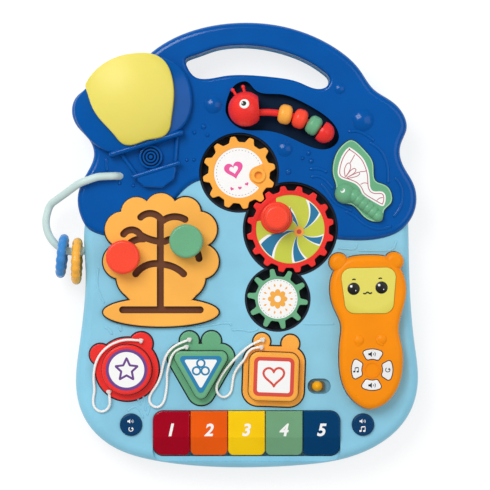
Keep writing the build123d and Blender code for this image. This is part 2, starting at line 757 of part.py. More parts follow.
def maze_slots(width):
    """Trunk, ground slot and branches of the maze, as one outline of a given width."""
    trunk_x = tree_middle - 0.5
    ground_y = -57.8
    face = Pos(trunk_x, (ground_y + 22.0) / 2) * SlotCenterToCenter(
        22.0 - ground_y, width, rotation=90)
    face = face + Pos((-96.3 - 26.6) / 2, ground_y) * SlotCenterToCenter(69.7, width)
    branches = [
        [(-61.5, 23.0), (-72.0, 28.8), (-80.0, 25.4)],
        [(-60.0, 22.4), (-51.0, 25.8), (-40.3, 23.4)],
        [(-62.4, 3.6), (-72.6, 5.8), (-80.5, 9.6)],
        [(-80.5, 9.6), (-88.6, 14.0), (-95.4, 10.2)],
        [(-63.0, -16.4), (-76.0, -18.4), (-84.5, -25.5)],
        [(-60.0, -17.0), (-50.0, -19.6), (-41.5, -25.5)],
        [red_branch_point(84), red_branch_point(130), red_branch_point(182)],
        [green_branch_point(9), green_branch_point(62), green_branch_point(118)]]
    for start, middle, end in branches:
        face = face + slot_face(start, middle, end, width)
    return face


def tree_plate():
    """Raised tree-shaped plate with the maze slots and the wider channels below them."""
    top = deck_height + tree_height
    plate = prism(tree_face(0), deck_height, top)
    plate = fillet(edges_at(plate, top), 1.0)
    plate = plate - prism(maze_slots(slot_width), deck_height - 1, top + 1)
    return plate - prism(maze_slots(channel_width), deck_height - 1, channel_top_height)


def tree_track():
    """Brown bottom of the maze, under the channels."""
    return prism(maze_slots(channel_width - 0.4), deck_height, channel_floor_height - 0.2)


def maze_knob(place):
    """Round knob with a stem through the slot and a foot below the plate."""
    bottom = deck_height + tree_height + maze_knob_clearance
    knob = post(place, maze_knob_radius, bottom, maze_knob_height)
    knob = fillet(edges_at(knob, maze_knob_height), 2.6)
    knob = fillet(edges_at(knob, bottom), 1.0)
    stem = post(place, stem_radius, channel_floor_height + 0.2, bottom + 1)
    foot = post(place, foot_radius, channel_floor_height + 0.1, channel_top_height - running_gap)
    return knob + stem + foot


def loop_tube():
    """Bent tube from the panel's side, round to the left and up onto the cloud deck."""
    first = polar(loop_centre, loop_radius, 292)
    middle = polar(loop_centre, loop_radius, 228)
    last = polar(loop_centre, loop_radius, 165)
    arc = ThreePointArc((*first, tube_height), (*middle, tube_height), (*last, tube_height))
    tangent = arc % 1
    lead = arc @ 1 + tangent * 9.0
    rise = FilletPolyline(arc @ 1, lead, (-150.5, 45.0, 38.0), (-135.0, 55.8, 47.4),
                          (-118.5, 61.6, 48.2), (-103.5, 62.3, 47.0), (-98.5, 62.3, 40.0),
                          radius=[11.0, 20.0, 20.0, 20.0, 6.0])
    path = Wire(arc.edges() + rise.edges())
    start = Plane(origin=path @ 0, z_dir=path % 0)
    tube = sweep(start * Circle(tube_radius), path=path)
    tube = tube - prism(body_face, parting_height - 10, deck_height - 1)
    under = Pos(-100, 60, cloud_deck_height - 20) * Box(40, 40, 40)
    return tube - under


def loop_ring(angle, outer_radius, tilt, sideways, drop):
    """Round ring that hangs on the tube."""
    place = polar(loop_centre, loop_radius + sideways, angle)
    ring = Torus(outer_radius - ring_section, ring_section)
    return Pos(place[0], place[1], tube_height - drop) * Rot(0, 0, tilt) * Rot(0, 90, 0) * ring


def round_frame_faces():
    """Bear's head: a round face with two round ears."""
    return [disc(round_frame_centre, round_frame_radius)] + [disc(*ear) for ear in bear_ears]


def triangle_face(margin):
    """Rounded triangle that points away from the handle, grown by a margin."""
    face = corner_face(triangle_corners, triangle_rounding)
    return offset(face, amount=margin) if margin else face


def square_face(margin):
    """Rounded square, grown by a margin."""
    width = square_size[0] + 2 * margin
    height = square_size[1] + 2 * margin
    return Pos(*square_centre) * Rot(0, 0, square_turn) * RectangleRounded(
        width, height, square_rounding + margin)


def animal_frame(faces, opening):
    """Low frame on the deck with an opening for its block."""
    frame = rounded_union(faces, deck_height, frame_top_height, frame_top_height, frame_edge)
    return frame - prism(opening, deck_height - 1, frame_top_height + 1)


def block(face):
    """Shape block that stands in its frame, with a rim round its printed top."""
    solid = prism(face, deck_height + running_gap, block_top_height)
    return fillet(edges_at(solid, block_top_height), block_edge)


def knot(route, end):
    """Knot of a cord's end, seated on its frame."""
    point = route[end]
    lump = ball(point[:2], knot_radius, frame_top_height + knot_radius - 0.5)
    base = Pos(point[0], point[1], frame_top_height - 10) * Box(20, 20, 20)
    return lump - base


def key(index):
    """Piano key: flat top, sloping front and a bore for its axle."""
    left = keyboard_left + index * key_pitch
    profile = Polyline((key_back, key_bottom_height), (key_back, key_top_height),
                       (key_flat_front, key_top_height), (key_front, key_lip_height),
                       (key_front, key_bottom_height), close=True)
    side = Plane(origin=(left, 0, 0), x_dir=(0, 1, 0), z_dir=(1, 0, 0))
    solid = extrude(side * make_face(profile), amount=key_width)
    ends = []
    fronts = []
    for edge in solid.edges().filter_by(Axis.Z):
        box = edge.bounding_box()
        outer_left = index == 0 and abs(box.min.X - left) < 0.01
        outer_right = index == key_count - 1 and abs(box.max.X - left - key_width) < 0.01
        if outer_left or outer_right:
            ends.append(edge)
        elif box.max.Y < key_flat_front:
            fronts.append(edge)
    if ends:
        solid = fillet(ShapeList(ends), key_corner)
        fronts = [e for e in solid.edges().filter_by(Axis.Z) if e.bounding_box().max.Y < key_front + 0.01]
        fronts = [e for e in fronts if abs(e.center().X - left) < 0.01
                  or abs(e.center().X - left - key_width) < 0.01]
    solid = fillet(ShapeList(fronts), key_front_corner)
    top = [e for e in solid.edges() if e.bounding_box().min.Z > key_lip_height - 0.1]
    solid = fillet(ShapeList(top), key_edge)
    bore = Plane(origin=(left - 1, *key_axle_place), z_dir=(1, 0, 0)) * Circle(
        key_axle_radius + shaft_play)
    return solid - extrude(bore, amount=key_width + 2)


def key_axle():
    """Steel rod that the keys turn on, held in the walls of their well."""
    return axle_bar(0)


def round_button(place):
    """Round push button with a flange below the deck."""
    cap = post(place, button_radius, deck_height - 5.5, button_top_height)
    cap = fillet(edges_at(cap, button_top_height), 1.2)
    flange = post(place, button_radius + button_flange - running_gap, deck_height - 6.5,
                  deck_height - 4 - running_gap)
    return cap + flange


def mode_switch_knob():
    """Sliding switch: a flat slider with a small round grip."""
    slider = Pos(switch_slider_place, switch_centre[1], switch_floor_height + 0.2 + 1.2) * Box(
        switch_slider[0], switch_slider[1], 2.4)
    slider = fillet(slider.edges().filter_by(Axis.Z), 2.0)
    grip = post((switch_slider_place, switch_centre[1]), switch_knob_radius,
                switch_floor_height + 1.5, deck_height + 1.8)
    return slider + fillet(edges_at(grip, deck_height + 1.8), 1.2)


def dragonfly_button():
    """Sprung button in the shape of a winged insect, with its head and ribbed body raised."""
    top = cloud_deck_height + wing_rise
    bottom = cloud_deck_height - 5.0
    solid = prism(smooth_face(dragonfly_outline), bottom, top)
    solid = fillet(edges_at(solid, top), 1.6)
    head = ball(wing_head_place, wing_head_radius, cloud_deck_height + 2.0)
    solid = solid + (head & post(wing_head_place, wing_head_radius - 0.2, top - 1, top + 12))
    body_start = Vector(*wing_body_ends[0], top)
    run = Vector(*wing_body_ends[1], top) - body_start
    for index in range(wing_ribs):
        place = body_start + run * (index / (wing_ribs - 1))
        rib = ball((place.X, place.Y), wing_rib_radius - wing_rib_step * index, top)
        solid = solid + (rib & post((place.X, place.Y), 7.0, top - 1, top + 8))
    return solid


def screen_face(margin):
    """Rounded outline of the telephone's face window, grown by a margin."""
    face = corner_face(screen_corners, screen_rounding)
    return offset(face, amount=margin) if margin else face


def pad_face(index, margin):
    """Ring sector of one telephone button, grown by a margin."""
    ring = disc(pad_centre, pad_outer_radius + margin) - disc(pad_centre, pad_inner_radius - margin)
    middle = 90 * index + pad_turn
    reach = 3 * pad_outer_radius
    half = pad_spread / 2
    spread = degrees(margin / pad_inner_radius) * 0.7
    wedge = make_face(Polyline(pad_centre, polar(pad_centre, reach, middle - half - spread),
                               polar(pad_centre, reach, middle + half + spread), close=True))
    face = ring & wedge
    return fillet(face.vertices(), pad_rounding + margin)


def phone_back():
    """Lower half of the toy telephone, hollow."""
    body, left_ear, right_ear = phone_faces(0)
    half = prism(body, phone_bottom_height, phone_split_height)
    half = fillet(edges_at(half, phone_bottom_height), phone_back_rounding)
    for ear in (left_ear, right_ear):
        half = half + prism(ear, phone_bottom_height + phone_back_rounding, phone_split_height)
    return half - prism(grown_face(phone_outline, -phone_wall), phone_bottom_height + phone_wall,
                        phone_split_height + 1)


def phone_front():
    """Upper half of the toy telephone with its window seat and button pockets."""
    half = rounded_union(phone_faces(0), phone_split_height, phone_top_height, phone_top_height,
                         phone_rounding)
    half = half - prism(screen_face(running_gap), phone_top_height - 2.0, phone_top_height + 1)
    for index in range(4):
        half = half - prism(pad_face(index, running_gap), pad_floor_height, phone_top_height + 1)
    return half


def phone_lens():
    """Face window of the telephone, slightly proud."""
    lens = prism(screen_face(0), phone_top_height - 2.0, phone_top_height + lens_rise)
    return fillet(edges_at(lens, phone_top_height + lens_rise), 0.8)


def phone_button(index):
    """One of four ring-sector buttons."""
    solid = prism(pad_face(index, 0), pad_button_bottom_height, pad_button_top_height)
    return fillet(edges_at(solid, pad_button_top_height), 0.8)


def balloon_basket():
    """Collar, two ropes and the basket with its speaker grille."""
    deck = cloud_deck_height
    collar_start = Vector(*collar_ends[0], deck + 0.8)
    run = Vector(*collar_ends[1], deck + 0.8) - collar_start
    collar = extrude(Plane(origin=collar_start, z_dir=run) * Circle(collar_radius), amount=run.length)
    parts = collar
    for start, end in ropes:
        base = Vector(start[0], start[1], deck + 0.6)
        rope_run = Vector(end[0], end[1], deck + 0.6) - base
        parts = parts + extrude(Plane(origin=base, z_dir=rope_run) * Circle(rope_radius),
                                amount=rope_run.length)
    basket = prism(corner_face(basket_corners, basket_rounding), deck, deck + basket_rise)
    parts = parts + fillet(edges_at(basket, deck + basket_rise), 1.6)
    plate = post(grille_centre, grille_radius + 1.6, deck, deck + 4.0)
    plate = fillet(edges_at(plate, deck + 4.0), 1.0)
    for radius in grille_ring_radii:
        ring = disc(grille_centre, radius + 0.7) - disc(grille_centre, radius - 0.7)
        plate = plate - prism(ring, deck + 2.2, deck + 5.0)
    parts = parts + plate
    parts = parts - prism(smooth_face(envelope_outline), deck - 1, envelope_crown_height)
    return parts - Pos(-70, 75, deck - 20) * Box(120, 80, 40)


def balloon_lens():
    """Translucent crowned panel of the balloon."""
    return crowned(smooth_face(lens_outline), lens_middle, lens_crown_height, lens_sphere_radius,
                   lens_seat_height, lens_edge)


def leg_socket(place):
    """Cup that takes a leg, with a flange inside the back."""
    outer = socket_bore_radius + socket_wall
    cup = post(place, outer, 0, socket_depth + socket_wall)
    flange = post(place, outer + socket_flange, back_height + wall, back_height + wall + 2.0)
    return cup + flange - post(place, socket_bore_radius, -1, socket_depth)


def battery_door():
    """Cover of the battery bay, flush with the back."""
    door = Pos(*cell_box_centre, back_height + wall / 2) * Box(door_size[0], door_size[1], wall)
    door = fillet(door.edges().filter_by(Axis.Z), door_corner)
    return door


def battery_box():
    """Inner box that holds the cells and closes the bay."""
    outer_x = door_size[0] + 2 * wall
    outer_y = door_size[1] + 2 * wall
    bottom = back_height + wall
    top = cell_height + cell_radius + 2.4
    box = Pos(*cell_box_centre, (bottom + top) / 2) * Box(outer_x, outer_y, top - bottom)
    inner = Pos(*cell_box_centre, (bottom + top) / 2 - wall) * Box(
        door_size[0] - 2, door_size[1] - 2, top - bottom)
    return box - inner


def battery_cell(index):
    """Round cell with its raised end."""
    x = cell_box_centre[0] + (index - (cell_count - 1) / 2) * cell_pitch
    y = cell_box_centre[1] - cell_length / 2
    plane = Plane(origin=(x, y, cell_height), z_dir=(0, 1, 0))
    cell = extrude(plane * Circle(cell_radius), amount=cell_length - 1.5)
    tip = Plane(origin=(x, y + cell_length - 1.5, cell_height), z_dir=(0, 1, 0))
    return cell + extrude(tip * Circle(2.6), amount=1.5)


def battery_contact(index):
    """Flat spring contact at a cell's end."""
    x = cell_box_centre[0] + (index - (cell_count - 1) / 2) * cell_pitch
    y = cell_box_centre[1] + cell_length / 2 + 0.4
    return Pos(x, y, cell_height) * Box(9.0, 0.8, 9.0)


def circuit_board():
    """Main board on four standing posts."""
    board = Pos(*board_centre, board_height) * Box(*board_size)
    for dx in (-50.0, 50.0):
        for dy in (-28.0, 28.0):
            place = (board_centre[0] + dx, board_centre[1] + dy)
            board = board + post(place, 2.5, back_height + wall, board_height)
    return board


def speaker():
    """Round loudspeaker under the basket's grille."""
    top = cloud_deck_height - wall
    cone = post(grille_centre, speaker_radius, top - speaker_depth, top)
    return cone + post(grille_centre, speaker_radius * 0.55, top - speaker_depth - 5, top - 2)


def case_screw(place):
    """Countersunk case screw from the back."""
    head = post(place, screw_head_radius, back_height + 0.8, back_height + 2.9)
    return head + post(place, screw_radius, back_height + 2, parting_height - 2)


def door_screw(side):
    """Screw of the battery door."""
    place = (cell_box_centre[0], cell_box_centre[1] + side * (door_size[1] / 2 - 4.0))
    return post(place, screw_head_radius, back_height - 1.2, back_height)


def build():
    """Build every sub-part and write it under its node's name."""
    os.makedirs("parts", exist_ok=True)
    save("back_shell", back_shell())
    save("lower_front_shell", lower_front_shell())
    save("upper_front_shell", upper_front_shell())
    save("gear_tray", gear_tray())
    save("orange_gear", orange_gear())
    save("red_gear", red_gear())
    save("red_gear_knob", red_gear_knob())
    save("green_gear", green_gear())
    save("worm_head", worm_head())
    save("worm_rod", worm_rod())
    save("worm_tail", worm_tail())
    for name, angle in bead_angles.items():
        save(name, bead(angle))
    save("tree_plate", tree_plate())
    save("tree_track", tree_track())
    save("tree_knob_red", maze_knob(red_branch_point(180)))
    save("tree_knob_green", maze_knob(green_branch_point(green_branch_angle)))
    save("loop_tube", loop_tube())
    save("loop_ring_blue", loop_ring(blue_ring_angle, blue_ring_radius, *blue_ring_hang))
    save("loop_ring_orange", loop_ring(orange_ring_angle, orange_ring_radius, *orange_ring_hang))
    save("bear_frame", animal_frame(round_frame_faces(),
                                    disc(round_frame_centre, round_block_radius + running_gap)))
    save("round_block", block(disc(round_frame_centre, round_block_radius)))
    frog = [triangle_face(triangle_frame_width)] + [disc(*eye) for eye in frog_eyes]
    save("frog_frame", animal_frame(frog, triangle_face(running_gap)))
    save("triangle_block", block(triangle_face(0)))
    cat = [square_face(square_frame_width)] + [disc(*ear) for ear in cat_ears]
    save("cat_frame", animal_frame(cat, square_face(running_gap)))
    save("square_block", block(square_face(0)))
    routes = {"cord_round": round_cord_route, "cord_triangle": triangle_cord_route,
              "cord_square": square_cord_route}
    for name, route in routes.items():
        save(name, cord_tube(name, route, cord_radius))
    save("cord_knots", *[knot(route, end) for route in routes.values() for end in (0, -1)])
    for index in range(key_count):
        save("key_" + str(index + 1), key(index))
    save("key_axle", key_axle())
    save("left_button", round_button(left_button_place))
    save("right_button", round_button(right_button_place))
    save("mode_switch_knob", mode_switch_knob())
    save("dragonfly_button", dragonfly_button())
    save("phone_back", phone_back())
    save("phone_front", phone_front())
    save("phone_lens", phone_lens())
    for index, name in enumerate(["right", "top", "left", "bottom"]):
        save("phone_button_" + name, phone_button(index))
    save("balloon_basket", balloon_basket())
    save("balloon_lens", balloon_lens())
    save("leg_sockets", *[leg_socket(place) for place in socket_places])
    save("battery_door", battery_door())
    save("battery_box", battery_box())
    save("battery_cells", *[battery_cell(index) for index in range(cell_count)])
    save("battery_contacts", *[battery_contact(index) for index in range(cell_count)])
    save("circuit_board", circuit_board())
    save("speaker", speaker())
    save("case_screws", *[case_screw(place) for place in screw_places])
    save("battery_door_screws", *[door_screw(side) for side in (-1, 1)])


build()
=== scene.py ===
"""Looks of a baby's activity panel: finishes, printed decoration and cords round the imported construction.

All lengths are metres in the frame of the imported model. Values written in millimetres are scaled by MM.
"""
from __future__ import annotations

import json
import logging
from dataclasses import dataclass, field
from enum import Enum
from typing import Any, Sequence

import bmesh
import bpy
import numpy as np
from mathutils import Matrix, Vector

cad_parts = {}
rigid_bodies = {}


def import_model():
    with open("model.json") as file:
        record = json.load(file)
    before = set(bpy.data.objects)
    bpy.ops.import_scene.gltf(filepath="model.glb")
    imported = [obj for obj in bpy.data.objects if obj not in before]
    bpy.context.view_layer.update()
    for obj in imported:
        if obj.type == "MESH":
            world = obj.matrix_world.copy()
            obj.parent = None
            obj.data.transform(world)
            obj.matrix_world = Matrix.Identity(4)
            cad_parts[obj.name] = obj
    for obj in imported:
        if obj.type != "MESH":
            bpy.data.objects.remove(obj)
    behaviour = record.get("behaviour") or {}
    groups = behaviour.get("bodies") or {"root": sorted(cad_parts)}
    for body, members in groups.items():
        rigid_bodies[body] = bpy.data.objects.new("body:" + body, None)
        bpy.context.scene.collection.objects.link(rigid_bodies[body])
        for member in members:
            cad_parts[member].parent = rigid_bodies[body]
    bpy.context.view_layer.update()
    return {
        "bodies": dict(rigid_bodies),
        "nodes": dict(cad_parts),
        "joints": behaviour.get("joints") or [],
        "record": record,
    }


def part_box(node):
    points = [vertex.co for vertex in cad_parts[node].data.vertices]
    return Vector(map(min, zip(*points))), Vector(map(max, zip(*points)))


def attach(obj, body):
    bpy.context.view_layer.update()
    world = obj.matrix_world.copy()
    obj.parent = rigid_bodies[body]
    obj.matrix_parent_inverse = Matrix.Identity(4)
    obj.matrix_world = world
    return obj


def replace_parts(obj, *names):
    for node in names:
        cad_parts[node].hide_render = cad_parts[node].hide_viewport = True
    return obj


MM = 0.001
LOG = logging.getLogger("activity_panel")

# Heights of the surfaces that decoration sits on, in millimetres
DECK = 38.0
CLOUD_DECK = 42.0
GEAR_DISC = 39.4
BUTTON_TOP = 40.6
KEY_TOP = 41.5
BLOCK_TOP = 50.0
FRAME_TOP = 41.2
WING_TOP = 45.6
PHONE_TOP = 54.0
WINDOW_TOP = 54.9
PAD_TOP = 55.2

# Thickness of a printed label and of one ink layer, in millimetres
LABEL = 0.16
INK = 0.10
SUNK = 0.05

# Width and height of the dark lines of painted shade that stand for the gaps between pieces, in millimetres
GAP_WIDTH = 1.5
GAP_RISE = 0.12

Points = np.ndarray
Start = tuple[bpy.types.Material, bpy.types.NodeTree, bpy.types.NodeSocket]


class Body(str, Enum):
    """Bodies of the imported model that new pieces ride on."""

    PANEL = "panel"
    RED_GEAR = "red_gear"
    ORANGE_GEAR = "orange_gear"
    GREEN_GEAR = "green_gear"
    ROUND_BLOCK = "round_block"
    TRIANGLE_BLOCK = "triangle_block"
    SQUARE_BLOCK = "square_block"
    BLUE_RING = "loop_ring_blue"
    ORANGE_RING = "loop_ring_orange"
    LEFT_BUTTON = "left_button"
    RIGHT_BUTTON = "right_button"
    WINGED_BUTTON = "dragonfly_button"
    MODE_SWITCH = "mode_switch_knob"
    TELEPHONE = "telephone"


class Side(Enum):
    """Sides of the telephone's ring of buttons, with the angle of each in degrees."""

    RIGHT = 0.0
    TOP = 90.0
    LEFT = 180.0
    BOTTOM = 270.0


# Colours and shader nodes


def linear(code: str) -> tuple[float, float, float, float]:
    """Turn an sRGB hex colour into linear light.

    Args:
        code: Colour as "#RRGGBB".

    Returns:
        Red, green, blue and alpha in linear light.
    """
    value = np.array([int(code[i:i + 2], 16) for i in (1, 3, 5)]) / 255.0
    light = np.where(value <= 0.04045, value / 12.92, ((value + 0.055) / 1.055) ** 2.4)
    return (float(light[0]), float(light[1]), float(light[2]), 1.0)


def shade(code: str, factor: float) -> tuple[float, float, float, float]:
    """Linear colour of a hex code, made lighter or darker by a factor."""
    light = np.clip(np.array(linear(code)[:3]) * factor, 0.0, 1.0)
    return (float(light[0]), float(light[1]), float(light[2]), 1.0)


def add_node(tree: bpy.types.NodeTree, kind: str, settings: dict[str, Any] | None = None,
             values: dict[Any, Any] | None = None, links: dict[Any, Any] | None = None) -> bpy.types.Node:
    """Add a shader node.

    Args:
        tree: Node tree that gets it.
        kind: Blender's name of the node type.
        settings: Attributes of the node by name.
        values: Constants of its inputs by name or index.
        links: Output sockets by the name or index of the input that each feeds.

    Returns:
        The new node.
    """
    node = tree.nodes.new(kind)
    for name, value in (settings or {}).items():
        setattr(node, name, value)
    for name, value in (values or {}).items():
        node.inputs[name].default_value = value
    for name, socket in (links or {}).items():
        tree.links.new(socket, node.inputs[name])
    return node


def new_material(name: str) -> tuple[bpy.types.Material, bpy.types.NodeTree]:
    """Make an empty node material and return it with its tree.

    Args:
        name: Name of the material.

    Returns:
        The material and its node tree.
    """
    material = bpy.data.materials.new(name)
    material.use_nodes = True
    material.node_tree.nodes.clear()
    return material, material.node_tree


def noise(tree: bpy.types.NodeTree, place: bpy.types.NodeSocket, size: float,
          **more: float) -> bpy.types.NodeSocket:
    """Noise with marks of a size in metres, as its value socket."""
    values = {"Scale": 1 / size} | {word.capitalize(): value for word, value in more.items()}
    return add_node(tree, "ShaderNodeTexNoise", values=values, links={"Vector": place}).outputs["Fac"]


def relief(tree: bpy.types.NodeTree, height: bpy.types.NodeSocket, strength: float,
           depth: float) -> bpy.types.NodeSocket:
    """Bump from a height value, as its normal socket."""
    return add_node(tree, "ShaderNodeBump", values={"Strength": strength, "Distance": depth},
                    links={"Height": height}).outputs["Normal"]


def close_material(material: bpy.types.Material, values: dict[str, Any],
                   links: dict[str, Any]) -> bpy.types.Material:
    """Feed a principled shader into the material's output and return the material.

    Args:
        material: Material that gets the shader.
        values: Constants of the shader by name.
        links: Sockets by the name of the input that each feeds.

    Returns:
        The same material.
    """
    tree = material.node_tree
    shader = add_node(tree, "ShaderNodeBsdfPrincipled", values=values, links=links)
    add_node(tree, "ShaderNodeOutputMaterial", links={"Surface": shader.outputs["BSDF"]})
    return material


class Gloss(Enum):
    """How a mould is finished, as the roughness that it gives the moulding."""

    POLISHED = 0.16
    SEMI_GLOSS = 0.27
    SATIN = 0.36
    MATT = 0.55


@dataclass(frozen=True)
class Finish:
    """What every finish has: a name after the real material, and a colour."""

    name: str
    colour: str

    def start(self, output: str = "Object") -> Start:
        """Start the material.

        Args:
            output: The texture coordinates that it uses.

        Returns:
            The material, its node tree and the coordinates' socket.
        """
        material, tree = new_material(self.name)
        return material, tree, add_node(tree, "ShaderNodeTexCoord").outputs[output]

    def material(self) -> bpy.types.Material:
        """Build the material; each finish has its own way."""
        raise NotImplementedError(self.name)


@dataclass(frozen=True)
class MouldedPlastic(Finish):
    """Injection-moulded ABS: even colour, a soft clear highlight and a faint eroded mould texture."""

    gloss: Gloss = Gloss.SEMI_GLOSS
    texture_pitch: float = 0.9 * MM
    texture_depth: float = 0.005 * MM
    flow_size: float = 38.0 * MM
    ior: float = 1.53
    specular: float = 0.3

    def material(self) -> bpy.types.Material:
        """Build the material: flow marks vary the colour, the mould texture gives roughness and bump.

        Returns:
            The new material.
        """
        material, tree, place = self.start()
        flow = noise(tree, place, self.flow_size, detail=3.0)
        grain = noise(tree, place, self.texture_pitch, detail=4.0, roughness=0.6)
        tint = add_node(tree, "ShaderNodeValToRGB", links={"Fac": flow})
        tint.color_ramp.elements[0].position = 0.32
        tint.color_ramp.elements[0].color = shade(self.colour, 0.94)
        tint.color_ramp.elements[1].position = 0.68
        tint.color_ramp.elements[1].color = shade(self.colour, 1.05)
        rough = add_node(tree, "ShaderNodeMapRange",
                         values={"From Min": 0.3, "From Max": 0.7, "To Min": self.gloss.value - 0.03,
                                 "To Max": self.gloss.value + 0.05},
                         links={"Value": grain})
        bump = relief(tree, grain, 0.6, self.texture_depth)
        return close_material(material, {"IOR": self.ior, "Specular IOR Level": self.specular},
                              {"Base Color": tint.outputs["Color"], "Roughness": rough.outputs["Result"],
                               "Normal": bump})


@dataclass(frozen=True)
class TintedWindow(Finish):
    """Tinted translucent polystyrene: light spreads inside it, and a darker colour towards its rim is painted
    shade.
    """

    # Painted shade: the darker colour that the window runs to at its rim.
    rim_shade_colour: str
    centre: tuple[float, float, float]
    radius: float
    spread: float = 6.0 * MM
    roughness: float = 0.38
    ior: float = 1.59
    specular: float = 0.25
    depth: float = 0.35
    reach: tuple[float, float, float] = (1.0, 0.8, 0.3)

    def material(self) -> bpy.types.Material:
        """Build the material: the colour runs from the middle to a darker rim by distance from the centre;
        the darker rim is painted shade.

        Returns:
            The new material.
        """
        material, tree, place = self.start()
        apart = add_node(tree, "ShaderNodeVectorMath", {"operation": "DISTANCE"},
                         {1: tuple(c * MM for c in self.centre)}, {0: place})
        share = add_node(tree, "ShaderNodeMapRange",
                         values={"From Min": self.radius * 0.62 * MM, "From Max": self.radius * MM},
                         links={"Value": apart.outputs["Value"]})
        ripple = noise(tree, place, 14 * MM, detail=2.0)
        # Painted shade: the colour darkens from the middle towards the rim.
        tint = add_node(tree, "ShaderNodeMix", {"data_type": "RGBA"},
                        {"A": linear(self.colour), "B": linear(self.rim_shade_colour)},
                        {"Factor": share.outputs["Result"]})
        bump = relief(tree, ripple, 0.3, 0.05 * MM)
        return close_material(material, {"IOR": self.ior, "Roughness": self.roughness,
                                         "Specular IOR Level": self.specular,
                                         "Subsurface Weight": self.depth, "Subsurface Scale": self.spread,
                                         "Subsurface Radius": self.reach},
                              {"Base Color": tint.outputs["Result"], "Normal": bump})


@dataclass(frozen=True)
class PrintedInk(Finish):
    """Screen-printed ink under a clear film: flat colour with faint screen mottle and a film's gloss."""

    mottle_pitch: float = 1.4 * MM
    film_roughness: float = 0.22

    def material(self) -> bpy.types.Material:
        """Build the material: fine mottle in the colour, and a coat for the film.

        Returns:
            The new material.
        """
        material, tree, place = self.start()
        mottle = noise(tree, place, self.mottle_pitch, detail=2.0)
        tint = add_node(tree, "ShaderNodeMix", {"data_type": "RGBA"},
                        {"A": shade(self.colour, 0.95), "B": shade(self.colour, 1.03)},
                        {"Factor": mottle})
        return close_material(material, {"Roughness": 0.5, "Coat Weight": 0.5,
                                         "Coat Roughness": self.film_roughness},
                              {"Base Color": tint.outputs["Result"]})


@dataclass(frozen=True)
class MilledMetal(Finish):
    """Drawn or plated metal: fine lines along one axis and a bright broken highlight."""

    roughness: float = 0.3
    line_pitch: float = 0.5 * MM

    def material(self) -> bpy.types.Material:
        """Build the material: stretched noise makes drawing lines in roughness and bump.

        Returns:
            The new material.
        """
        material, tree, place = self.start()
        along = add_node(tree, "ShaderNodeMapping", values={"Scale": (0.05, 1.0, 1.0)},
                         links={"Vector": place})
        lines = noise(tree, along.outputs["Vector"], self.line_pitch, detail=3.0)
        rough = add_node(tree, "ShaderNodeMapRange",
                         values={"To Min": self.roughness - 0.08, "To Max": self.roughness + 0.12},
                         links={"Value": lines})
        bump = relief(tree, lines, 0.4, 0.01 * MM)
        return close_material(material, {"Base Color": linear(self.colour), "Metallic": 1.0},
                              {"Roughness": rough.outputs["Result"], "Normal": bump})


@dataclass(frozen=True)
class BraidedNylon(Finish):
    """Braided nylon cord: two sets of strands cross at a slant, with a soft sheen on each strand and painted
    shade between them.
    """

    strand_pitch: float = 1.1 * MM
    cord_length: float = 140.0 * MM

    def material(self) -> bpy.types.Material:
        """Build the material: two crossing waves on the cord's own UV map give the braid's relief, and the
        colour darkens between the strands as painted shade.

        Returns:
            The new material.
        """
        material, tree, place = self.start("UV")
        turns = self.cord_length / self.strand_pitch
        strands = []
        for slant in (-1.0, 1.0):
            turned = add_node(tree, "ShaderNodeMapping", values={"Scale": (turns, 4.0 * slant, 1.0)},
                              links={"Vector": place})
            strands.append(add_node(tree, "ShaderNodeTexWave",
                                    {"wave_type": "BANDS", "bands_direction": "DIAGONAL"},
                                    {"Scale": 0.35, "Distortion": 0.3},
                                    {"Vector": turned.outputs["Vector"]}))
        higher = add_node(tree, "ShaderNodeMath", {"operation": "MAXIMUM"},
                          links={0: strands[0].outputs["Fac"], 1: strands[1].outputs["Fac"]})
        # Painted shade: the colour darkens where the strands sink, between them.
        tint = add_node(tree, "ShaderNodeMix", {"data_type": "RGBA"},
                        {"A": shade(self.colour, 0.78), "B": linear(self.colour)},
                        {"Factor": higher.outputs["Value"]})
        bump = relief(tree, higher.outputs["Value"], 0.5, 0.15 * MM)
        return close_material(material, {"Roughness": 0.62, "Sheen Weight": 0.4, "Sheen Roughness": 0.4},
                              {"Base Color": tint.outputs["Result"], "Normal": bump})


